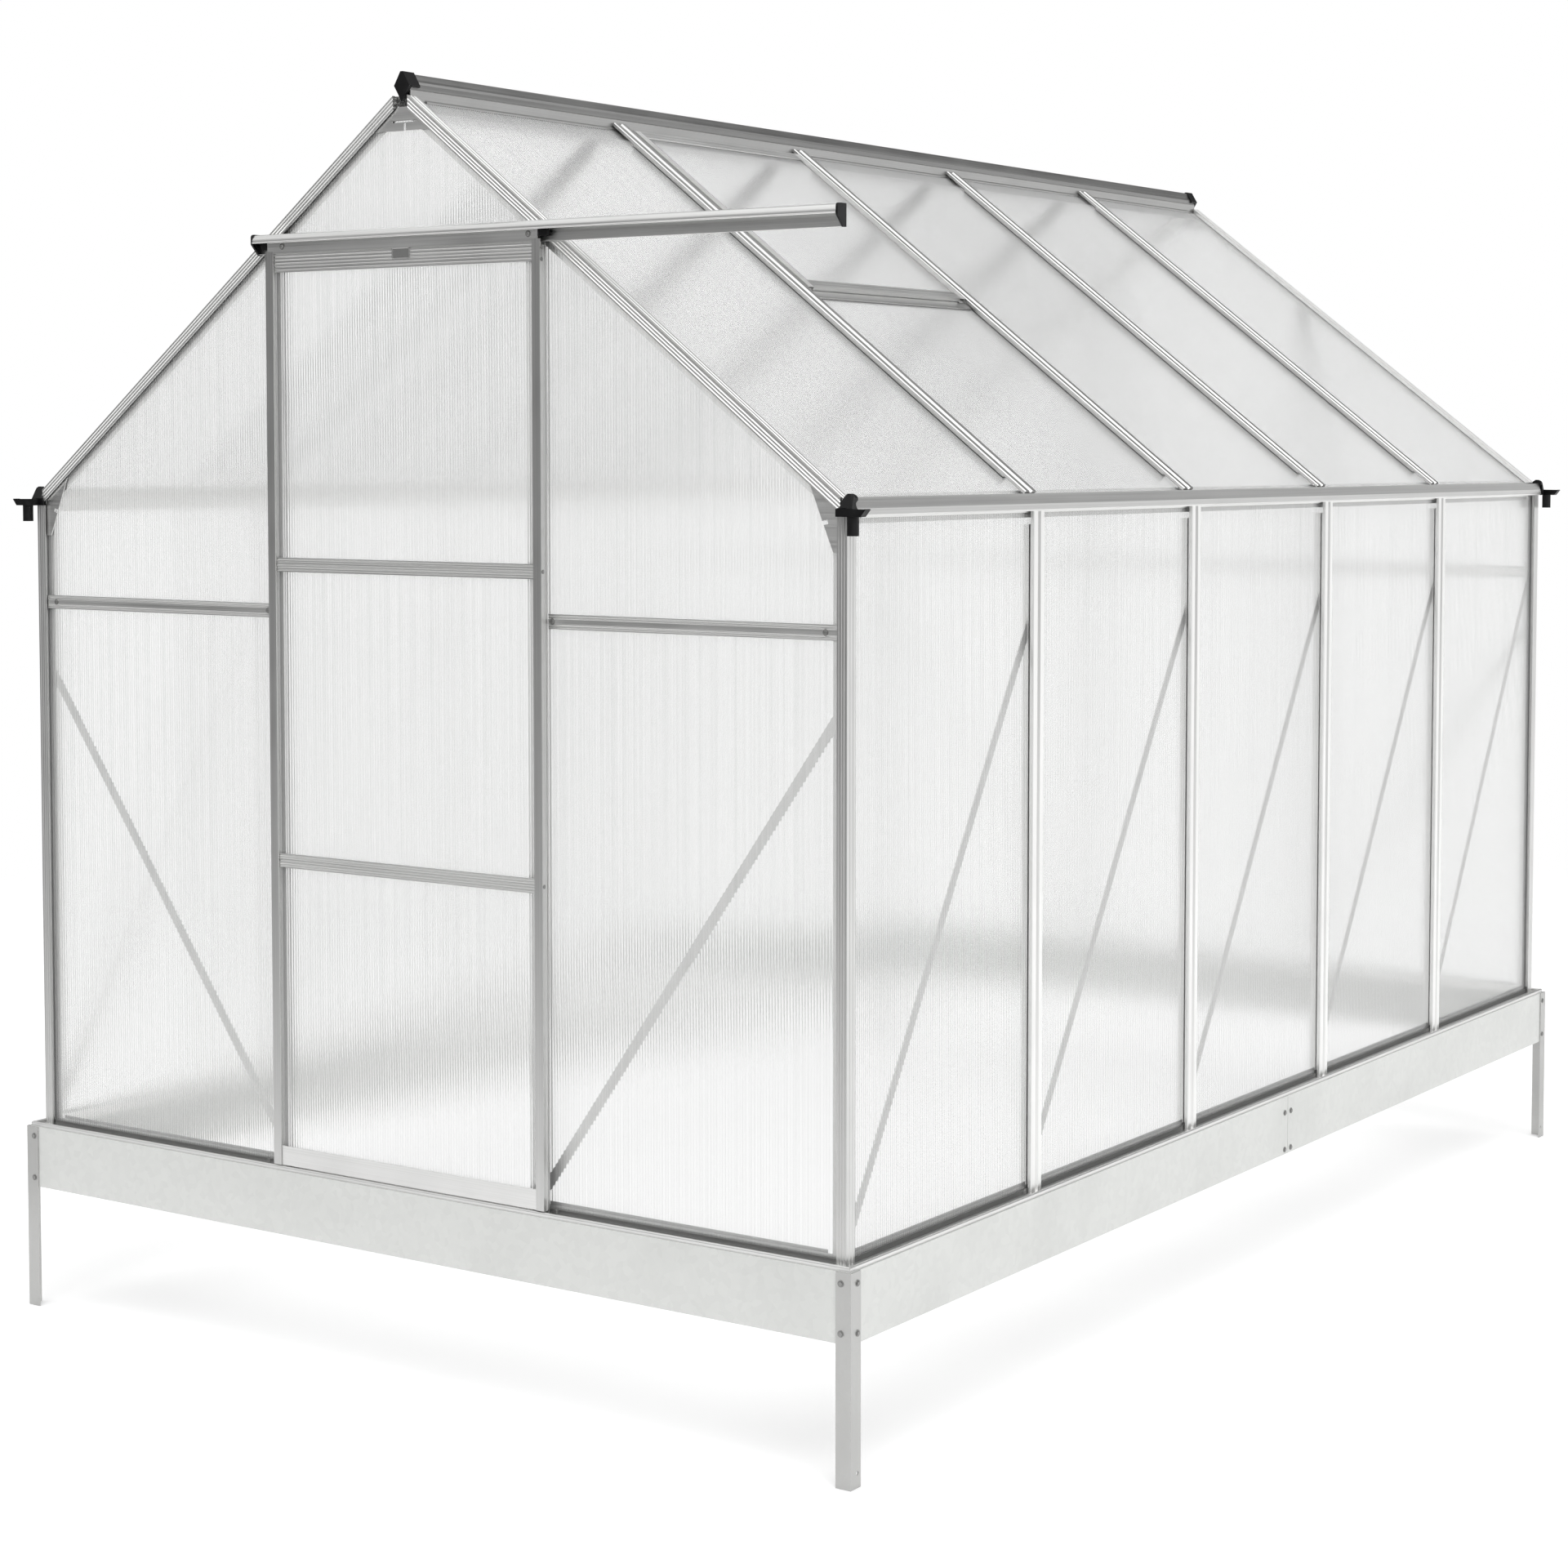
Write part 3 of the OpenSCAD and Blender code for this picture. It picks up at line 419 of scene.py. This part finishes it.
def end_strips(end, gable_foot):
    """Sheets of a gable: two in each outer bay and the cut triangle between the posts."""
    strips = []
    x0 = POST_X + STEM_GAP
    x1 = HALF_W - CORNER_STEM
    for m in (-1, 1):
        strips.append(end_strip(
            end, SHEET_D, m * x0, m * x1, EDGE_GAP, RAIL_Z - EDGE_GAP, RAIL_Z - EDGE_GAP))
        strips.append(end_strip(
            end, SHEET_D, m * x0, m * x1, RAIL_Z + EDGE_GAP, roof_z(x0, SHEET_D), roof_z(x1, SHEET_D)))
    inner = POST_X - STEM_GAP
    shoulder = roof_z(inner, SHEET_D)
    gable = end_strip(end, SHEET_D, -inner, inner, gable_foot, shoulder, shoulder)
    strips.append((*gable, roof_z(0, SHEET_D) - shoulder, APEX - RIDGE_CUT - shoulder))
    return strips


def roof_strips(side):
    """Sheets of a roof slope, shorter below the vent."""
    strips = []
    top = RIDGE_HALF / math.cos(PITCH) + SHEET_D
    under_vent = VENT_TOP + VENT_LEN + 2 * EDGE_GAP
    foot = SLOPE - 4 * EDGE_GAP
    for k in range(BAYS):
        start = under_vent if (side == 1 and k == VENT_BAY) else top
        strips.append(slope_strip(side, start, foot, bay_edges(k), -SHEET_D))
    return strips


def slope_strip(side, start, stop, edges, out):
    """A sheet on a slope between two distances from the ridge line."""
    outward = Vector((side * math.sin(PITCH), 0, math.cos(PITCH)))
    a, b = (on_slope(side, stop, y, out) for y in edges)
    rise = on_slope(side, start, edges[0], out) - a
    return (a, b, rise, rise, outward)


def door_strips():
    """The three sheets of the door leaf."""
    strips = []
    foot_lap = 0.02
    half = DOOR_HALF + 0.006
    for k in range(3):
        low = DOOR_FOOT + k * (DOOR_PANE + DOOR_RAIL)
        foot = low - (foot_lap if k == 0 else DOOR_LAP)
        top = low + DOOR_PANE + DOOR_LAP
        strips.append(end_strip(-1, DOOR_D, DOOR_X - half, DOOR_X + half, foot, top, top))
    return strips


# Operators


def sizes():
    return bpy.context.scene.greenhouse_sizes


def colours():
    return bpy.context.scene.greenhouse_colours


def dress(names, material):
    """Gives CAD nodes a material in every slot."""
    for name in names:
        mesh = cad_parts[name].data
        if not mesh.materials:
            mesh.materials.append(material)
        for k in range(len(mesh.materials)):
            mesh.materials[k] = material


ALONG_X = (0.0, 0.0, 0.0)
ALONG_Y = (0.0, 0.0, math.pi / 2)
ALONG_Z = (0.0, math.pi / 2, 0.0)
DOWN_SLOPE = (0.0, PITCH, 0.0)
# Bars by finish: the way they run, whether both slopes share it, how bright it is, and their nodes. The
# brightness is painted light and shade: the same mill aluminium is made darker or lighter per group to stand
# in for how the light falls on those bars
BARS = {
    "alloy_cross": (ALONG_X, False, 1.0, (
        "sill_front", "sill_back", "front_mid_rails", "back_mid_rails", "door_header", "door_top_rail",
        "door_mid_rails", "door_bottom_rail", "ridge_gussets", "eave_gussets")),
    "alloy_track_painted_light": (ALONG_X, False, 1.08, ("door_track",)),
    "alloy_long": (ALONG_Y, False, 1.0, (
        "sill_left", "sill_right", "gutter_left", "gutter_right", "vent_frame")),
    "alloy_ridge_painted_shade": (ALONG_Y, False, 0.6, ("ridge_bar", "vent_sill")),
    "alloy_upright_painted_shade": (ALONG_Z, False, 0.8, (
        "door_posts", "back_posts", "door_stiles", "end_braces", "side_braces")),
    "alloy_corner_painted_shade": (ALONG_Z, False, 0.82, ("corner_posts",)),
    "alloy_stud_painted_light": (ALONG_Z, False, 1.08, ("left_studs", "right_studs")),
    "alloy_rafter_painted_light": (DOWN_SLOPE, True, 1.08, ("front_rafters", "back_rafters")),
    "alloy_slope_painted_shade": (DOWN_SLOPE, True, 0.72, ("left_roof_bars", "right_roof_bars")),
}
BASE = ("base_front", "base_back", "base_left", "base_right", "base_splices")
CAPS = ("gutter_outlets", "ridge_end_caps", "track_end_caps", "door_rollers")


class GREENHOUSE_OT_bars(bpy.types.Operator):
    """Gives the aluminium bars their mill finish, with die lines along each bar, and a painted darker or
    lighter tone per group for light and shade
    """

    bl_idname = "greenhouse.bars"
    bl_label = "Bars"

    def execute(self, context):
        # shade paints each group darker or lighter than the mill aluminium: painted shade and painted light,
        # not a different metal
        for name, (turn, mirrored, shade, nodes) in BARS.items():
            dress(nodes, extruded_alloy(name, rgba(colours().alloy, shade), turn, mirrored))
        return {"FINISHED"}


class GREENHOUSE_OT_base(bpy.types.Operator):
    """Gives the folded base and its stakes their zinc coat"""

    bl_idname = "greenhouse.base"
    bl_label = "Base"

    def execute(self, context):
        dress(BASE, zinc_coat("zinc_coat", colours().steel, 0.35))
        dress(("corner_stakes",), zinc_coat("stake_zinc", colours().stake, 0.9))
        return {"FINISHED"}


class GREENHOUSE_OT_caps(bpy.types.Operator):
    """Gives the end caps, gutter ends and rollers their black plastic"""

    bl_idname = "greenhouse.caps"
    bl_label = "Caps"

    def execute(self, context):
        dress(CAPS, moulded_plastic("black_plastic", colours().plastic))
        return {"FINISHED"}


class GREENHOUSE_OT_sheets(bpy.types.Operator):
    """Grows the ribbed twin-wall sheets of the walls, roof, vent and door"""

    bl_idname = "greenhouse.sheets"
    bl_label = "Sheets"

    def execute(self, context):
        finish = clear_sheet("clear_sheet", colours().sheet)
        group = rib_tree()
        vent_edges = (STUDS[VENT_BAY - 1] + VENT_EDGE, STUDS[VENT_BAY] - VENT_EDGE)
        layout = {
            "front_panels": ("house", end_strips(-1, TRACK_Z - 2 * EDGE_GAP)),
            "back_panels": ("house", end_strips(1, RAIL_Z + EDGE_GAP) + [end_strip(
                1, SHEET_D, STEM_GAP - POST_X, POST_X - STEM_GAP, EDGE_GAP, RAIL_Z - EDGE_GAP,
                RAIL_Z - EDGE_GAP)]),
            "left_wall_panels": ("house", side_strips(-1)),
            "right_wall_panels": ("house", side_strips(1)),
            "left_roof_panels": ("house", roof_strips(-1)),
            "right_roof_panels": ("house", roof_strips(1)),
            "vent_panel": ("house", [slope_strip(
                1, VENT_TOP + VENT_LAP, VENT_TOP + VENT_LEN - VENT_LAP, vent_edges, 0.0)]),
            "door_panels": ("door", door_strips()),
        }
        for node, (body, strips) in layout.items():
            steps = [(group, self.values(strip, finish)) for strip in strips]
            piece = grown("ribbed_" + node, bpy.data.meshes.new(node + "_start"), steps)
            piece.visible_shadow = False
            piece.visible_diffuse = False
            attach(piece, body)
            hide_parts(node)
        return {"FINISHED"}

    def values(self, strip, finish):
        foot_a, foot_b, rise_a, rise_b, outward, peak, cut = (*strip, 0.0, 0.0)[:7]
        if (foot_b - foot_a).cross(Vector(outward)).dot(rise_a) < 0:
            foot_a, foot_b, rise_a, rise_b = foot_b, foot_a, rise_b, rise_a
        return {
            "Foot A": tuple(foot_a), "Foot B": tuple(foot_b),
            "Rise A": tuple(rise_a), "Rise B": tuple(rise_b),
            "Outward": tuple(float(v) for v in outward), "Thickness": sizes().sheet_thickness,
            "Pitch": sizes().rib_pitch, "Bulge": sizes().rib_bulge, "Facets": FACETS,
            "Peak": peak, "Cut": cut, "Finish": finish}


def house_bolts():
    """Places and directions of the bolts on the house's base."""
    spots = []
    stake = 0.026
    corner = 0.02
    for mx in (-1, 1):
        for my in (-1, 1):
            for z in (SILL - 0.019, SILL - 0.102):
                spots.append(((mx * (HALF_W + stake - corner), my * (HALF_L + stake), z), (0, my, 0)))
                spots.append(((mx * (HALF_W + stake), my * (HALF_L + stake - corner), z), (mx, 0, 0)))
        for y in (0.0755, 0.1045):
            for z in (SILL - 0.033, SILL - 0.110):
                spots.append(((mx * (HALF_W + stake - 0.0025), y, z), (mx, 0, 0)))
    return spots


def house_screws():
    """Places and directions of the small screws on the gables."""
    spots = []
    for my in (-1, 1):
        for mx in (-1, 1):
            for x in (POST_X + 0.028, HALF_W - 0.045):
                spots.append(((mx * x, my * (HALF_L - 0.005), SILL + RAIL_Z), (0, my, 0)))
    for x in (-0.348, -0.328, 0.34):
        spots.append(((x, SHADE_STRIP_D - HALF_L, SILL + 0.007), (0, -1, 0)))
    for mx in (-1, 1):
        for y in (STUDS[0] - 0.027, STUDS[0] + 0.027):
            spots.append(((mx * (HALF_W - SHADE_STRIP_D), y, SILL + 0.007), (mx, 0, 0)))
    return spots


def door_bolts():
    """Places and directions of the hanger bolts on the door's top rail."""
    return [((DOOR_X + x, -HALF_L - 0.019, SILL + 1.709), (0, -1, 0)) for x in (-0.28, 0.297)]


def door_screws():
    """Places and directions of the screws through the door's stiles into its rails."""
    spots = []
    top_rail = [1.665, 1.686]
    heights = [DOOR_FOOT + k * DOOR_PANE + (k - 0.5) * DOOR_RAIL for k in (1, 2)] + top_rail
    for z in heights:
        for m in (-1, 1):
            spots.append(((DOOR_X + m * 0.322, -HALF_L - 0.0142, SILL + z), (m, 0, 0)))
    return spots


class GREENHOUSE_OT_bolts(bpy.types.Operator):
    """Sets the bolt and screw heads on the base, the gables and the door"""

    bl_idname = "greenhouse.bolts"
    bl_label = "Bolts"

    def execute(self, context):
        finish = zinc_coat("bolt_zinc", rgba(colours().stake, 0.6), 0.9)
        group = bolt_tree()
        bolt = (sizes().bolt_radius, sizes().bolt_height, 6)
        screw = (sizes().screw_radius, 0.6 * sizes().bolt_height, 16)
        stile_screw = (0.7 * sizes().screw_radius, 0.45 * sizes().bolt_height, 16)
        layout = {
            "base_bolts": ("house", house_bolts(), bolt),
            "gable_screws": ("house", house_screws(), screw),
            "hanger_bolts": ("door", door_bolts(), bolt),
            "stile_screws": ("door", door_screws(), stile_screw)}
        for name, (body, spots, (radius, height, sides)) in layout.items():
            start = bpy.data.meshes.new(name + "_points")
            start.from_pydata([place for place, facing in spots], [], [])
            facings = start.attributes.new("facing", "FLOAT_VECTOR", "POINT")
            for entry, (place, facing) in zip(facings.data, spots):
                entry.vector = facing
            values = {"Radius": radius, "Height": height, "Sides": sides, "Finish": finish}
            piece = grown(name, start, [(group, values)])
            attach(piece, body)
        return {"FINISHED"}


def rounded_ring(half_x, half_z, radius, y):
    """Corners of a rounded rectangle in the plane at y, anticlockwise as seen from the front."""
    ring = []
    for turn, (sx, sz) in enumerate(((1, 1), (-1, 1), (-1, -1), (1, -1))):
        for k in range(7):
            angle = math.radians(90 * turn + 15 * k)
            ring.append((sx * (half_x - radius) + radius * math.cos(angle), y,
                         sz * (half_z - radius) + radius * math.sin(angle)))
    return ring


class GREENHOUSE_OT_plate(bpy.types.Operator):
    """Fits the blank plate on the door's top rail"""

    bl_idname = "greenhouse.plate"
    bl_label = "Plate"

    def execute(self, context):
        half_x = 0.0205
        half_z = 0.0105
        border = 0.0012
        rings = (
            rounded_ring(half_x, half_z, 0.002, 0.0003), rounded_ring(half_x, half_z, 0.002, -0.0012),
            rounded_ring(half_x - border, half_z - border, 0.0012, -0.0016),
            rounded_ring(half_x - 2 * border, half_z - 2 * border, 0.0008, -0.0009))
        count = len(rings[0])
        faces = [list(range(count)), list(range(4 * count - 1, 3 * count - 1, -1))]
        for level in range(3):
            for k in range(count):
                after = (k + 1) % count
                low = level * count
                faces.append([low + after, low + k, low + count + k, low + count + after])
        centre = Vector((DOOR_X + 0.004, -HALF_L - 0.016, SILL + 1.6865))
        mesh = bpy.data.meshes.new("blank_plate")
        mesh.from_pydata([Vector(spot) + centre for ring in rings for spot in ring], [], faces)
        # The plate takes the darkened ridge aluminium: painted shade
        mesh.materials.append(bpy.data.materials["alloy_ridge_painted_shade"])
        plate = bpy.data.objects.new("blank_plate", mesh)
        bpy.context.scene.collection.objects.link(plate)
        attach(plate, "door")
        return {"FINISHED"}


# Sections of the strips at the foot of the sheets, as depth and height. The strips are painted shade: dark
# stand-ins for the shaded sill channel and the sheets' foot seen over it
FRONT_SHADE_STRIP = (
    (0.0058, 0.0021), (0.0058, 0.0104), (0.0054, 0.0110),
    (0.0048, 0.0110), (SHADE_STRIP_D, 0.0104), (SHADE_STRIP_D, 0.0021))
REAR_SHADE_STRIP = (
    (0.0139, 0.0159), (0.0139, 0.0212), (0.0135, 0.0220),
    (0.0127, 0.0220), (0.0123, 0.0212), (0.0123, 0.0159))


def wall_bays(wall):
    """Spans along a wall between its posts."""
    if wall in ("left", "right"):
        stops = [-HALF_L, *STUDS, HALF_L]
        return list(zip(stops, stops[1:]))
    outer = [(-HALF_W, -POST_X), (POST_X, HALF_W)]
    return outer + [(-POST_X, POST_X)] if wall == "back" else outer


def wall_spot(wall, along, depth, height):
    """A point beside a wall, with its depth from the outer plane and its height from the sill."""
    if wall in ("front", "back"):
        end = -1 if wall == "front" else 1
        return Vector((along, end * (HALF_L - depth), SILL + height))
    end = -1 if wall == "left" else 1
    return Vector((end * (HALF_W - depth), along, SILL + height))


class GREENHOUSE_OT_shade_strips(bpy.types.Operator):
    """Lays dark strips of painted shade along the foot of the sheets, standing in for the shaded sill
    channel
    """

    bl_idname = "greenhouse.liners"
    bl_label = "Shade strips"

    def execute(self, context):
        # Both strips are darkened aluminium, painted shade: the front one for the shaded sill channel, the
        # rear one for the sheets' foot seen over its dark back
        layout = {
            "sill_shade_strips": (FRONT_SHADE_STRIP, 0.32, 0.021, 0.021),
            "sheet_foot_shade_strips": (REAR_SHADE_STRIP, 0.6, 0.014, 0.044)}
        for name, (section, shade, from_post, from_corner) in layout.items():
            shape = bmesh.new()
            for wall in ("front", "back", "left", "right"):
                corner = HALF_L if wall in ("left", "right") else HALF_W
                for low, high in wall_bays(wall):
                    start = low + (from_corner if low == -corner else from_post)
                    stop = high - (from_corner if high == corner else from_post)
                    self.prism(shape, section, wall, start, stop)
            bmesh.ops.recalc_face_normals(shape, faces=shape.faces)
            mesh = bpy.data.meshes.new(name)
            shape.to_mesh(mesh)
            shape.free()
            mesh.materials.append(extruded_alloy("alloy_" + name, rgba(colours().alloy, shade), ALONG_X))
            piece = bpy.data.objects.new(name, mesh)
            bpy.context.scene.collection.objects.link(piece)
            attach(piece, "house")
        return {"FINISHED"}

    def prism(self, shape, section, wall, start, stop):
        rings = []
        for along in (start, stop):
            ring = [shape.verts.new(wall_spot(wall, along, *spot)) for spot in section]
            shape.faces.new(ring)
            rings.append(ring)
        for k in range(len(section)):
            shape.faces.new((rings[0][k - 1], rings[0][k], rings[1][k], rings[1][k - 1]))


class GREENHOUSE_OT_stage(bpy.types.Operator):
    """Sets the pale floor, the soft studio light and the camera"""

    bl_idname = "greenhouse.stage"
    bl_label = "Stage"

    def execute(self, context):
        self.floor()
        self.light()
        self.camera()
        return {"FINISHED"}

    def floor(self):
        mesh = bpy.data.meshes.new("floor")
        sides = 96
        reach = 9.0
        turns = [k * math.tau / sides for k in range(sides)]
        rim = [(reach * math.cos(turn), reach * math.sin(turn), 0) for turn in turns]
        mesh.from_pydata(rim, [], [list(range(sides))])
        material = bpy.data.materials.new("studio_floor")
        material.use_nodes = True
        material.cycles.emission_sampling = "NONE"
        tree = Tree(material.node_tree)
        matt = tree.add("ShaderNodeBsdfDiffuse", {"Color": rgba(colours().floor)})
        place = tree.add("ShaderNodeTexCoord").outputs["Object"]
        away = tree.add("ShaderNodeVectorMath", {0: place}, operation="LENGTH").outputs["Value"]
        fade = tree.add("ShaderNodeMapRange", {"Value": away, "From Min": 2.5, "From Max": 6.5},
                        interpolation_type="SMOOTHSTEP").outputs[0]
        clear = tree.add("ShaderNodeBsdfTransparent")
        path = tree.add("ShaderNodeLightPath")
        bent = tree.math("MAXIMUM", path.outputs["Is Glossy Ray"], path.outputs["Is Transmission Ray"])
        seen = tree.math("MULTIPLY", path.outputs["Is Camera Ray"], 0.3)
        lift = tree.math("MULTIPLY_ADD", bent, 0.22, seen)
        shine = tree.add("ShaderNodeEmission", {"Color": (1.0, 1.0, 1.0, 1.0), "Strength": lift})
        shader = tree.add("ShaderNodeAddShader", {0: matt.outputs[0], 1: shine.outputs[0]})
        mix = tree.add("ShaderNodeMixShader", {0: fade, 1: shader.outputs[0], 2: clear.outputs[0]})
        tree.tree.links.new(mix.outputs[0], material.node_tree.nodes["Material Output"].inputs[0])
        mesh.materials.append(material)
        floor = bpy.data.objects.new("floor", mesh)
        bpy.context.scene.collection.objects.link(floor)

    def light(self):
        scene = bpy.context.scene
        world = bpy.data.worlds.new("studio")
        scene.world = world
        world.use_nodes = True
        tree = Tree(world.node_tree)
        ground = world.node_tree.nodes["Background"]
        way = tree.add("ShaderNodeTexCoord").outputs["Generated"]
        height = tree.add("ShaderNodeSeparateXYZ", {0: way}).outputs[2]
        toward = tree.add("ShaderNodeVectorMath", {0: way, 1: (0.75, 0.66, 0.0)}, operation="DOT_PRODUCT")
        side = tree.ranged(toward.outputs["Value"], -0.3, 0.85, 0.0, 1.0)
        low = tree.ranged(height, 0.05, 0.4, 1.0, 0.0)
        overhead = tree.ranged(height, 0.5, 0.8, 0.09, 0.98)
        below = tree.ranged(height, -0.02, -0.2, 0.0, 0.3)
        ahead = tree.add("ShaderNodeVectorMath", {0: way, 1: (-0.35, -0.94, 0.0)}, operation="DOT_PRODUCT")
        front = tree.ranged(ahead.outputs["Value"], 0.2, 0.7, 0.0, 0.85)
        canopy = tree.math("MULTIPLY", front, tree.ranged(height, 0.12, 0.35, 0.0, 1.0))
        upper = tree.math("MAXIMUM", overhead, canopy)
        band = tree.math("MULTIPLY_ADD", tree.math("MULTIPLY", side, low), 0.9, upper)
        path = tree.add("ShaderNodeLightPath")
        # Below the horizon only bounced rays see light, so that no shadow ray is aimed at the floor
        bounced = tree.math("MAXIMUM", path.outputs["Is Glossy Ray"], path.outputs["Is Diffuse Ray"])
        lit = tree.math("MAXIMUM", bounced, tree.math("GREATER_THAN", height, 0.0))
        glow = tree.math("MULTIPLY", tree.math("ADD", band, below), lit)
        passed = path.outputs["Is Transmission Ray"]
        seen = tree.math("MAXIMUM", path.outputs["Is Camera Ray"], passed)
        white = tree.math("MULTIPLY_ADD", passed, 0.15, 1.0)
        shade = tree.math("MULTIPLY_ADD", seen, tree.math("SUBTRACT", white, glow), glow)
        tree.tree.links.new(shade, ground.inputs["Color"])
        lamp = bpy.data.lights.new("key", "SUN")
        lamp.energy = 1.4
        lamp.angle = math.radians(50)
        key = bpy.data.objects.new("key", lamp)
        key.rotation_euler = (math.radians(38), math.radians(12), math.radians(30))
        scene.collection.objects.link(key)
        scene.view_settings.view_transform = "Standard"
        scene.cycles.use_light_tree = False
        scene.cycles.max_bounces = 8
        scene.cycles.diffuse_bounces = 2
        scene.cycles.glossy_bounces = 3
        scene.cycles.transmission_bounces = 8
        scene.cycles.caustics_reflective = False
        scene.cycles.caustics_refractive = False

    def camera(self):
        scene = bpy.context.scene
        lens = bpy.data.cameras.new("camera")
        side = 1920
        focal = 3733.0
        horizon = 768.0
        lens.sensor_width = 36.0
        lens.lens = focal / side * 36.0
        lens.shift_y = horizon / side - 0.5
        lens.clip_end = 100.0
        camera = bpy.data.objects.new("camera", lens)
        camera.location = (3.6423, -4.1233 - HALF_L, 1.3326 + SILL)
        camera.rotation_euler = (math.radians(90 - 3.27), 0, math.radians(34.33))
        scene.collection.objects.link(camera)
        scene.camera = camera


class GREENHOUSE_PT_panel(bpy.types.Panel):
    """Lists the steps and the settings of the greenhouse"""

    bl_idname = "GREENHOUSE_PT_panel"
    bl_label = "Greenhouse"
    bl_space_type = "VIEW_3D"
    bl_region_type = "UI"
    bl_category = "Greenhouse"

    def draw(self, context):
        for name in GreenhouseSizes.__annotations__:
            self.layout.prop(context.scene.greenhouse_sizes, name)
        for name in GreenhouseColours.__annotations__:
            self.layout.prop(context.scene.greenhouse_colours, name)
        for step in STEPS:
            self.layout.operator(step.bl_idname)


STEPS = (
    GREENHOUSE_OT_bars,
    GREENHOUSE_OT_base,
    GREENHOUSE_OT_caps,
    GREENHOUSE_OT_sheets,
    GREENHOUSE_OT_bolts,
    GREENHOUSE_OT_plate,
    GREENHOUSE_OT_shade_strips,
    GREENHOUSE_OT_stage,
)
CLASSES = (GreenhouseSizes, GreenhouseColours, *STEPS, GREENHOUSE_PT_panel)


def register():
    for cls in CLASSES:
        bpy.utils.register_class(cls)
    bpy.types.Scene.greenhouse_sizes = bpy.props.PointerProperty(type=GreenhouseSizes)
    bpy.types.Scene.greenhouse_colours = bpy.props.PointerProperty(type=GreenhouseColours)


def unregister():
    del bpy.types.Scene.greenhouse_sizes
    del bpy.types.Scene.greenhouse_colours
    for cls in reversed(CLASSES):
        bpy.utils.unregister_class(cls)


def main():
    register()
    bpy.ops.greenhouse.bars()
    bpy.ops.greenhouse.base()
    bpy.ops.greenhouse.caps()
    bpy.ops.greenhouse.sheets()
    bpy.ops.greenhouse.bolts()
    bpy.ops.greenhouse.plate()
    bpy.ops.greenhouse.liners()
    bpy.ops.greenhouse.stage()


if __name__ == "__main__":
    main()
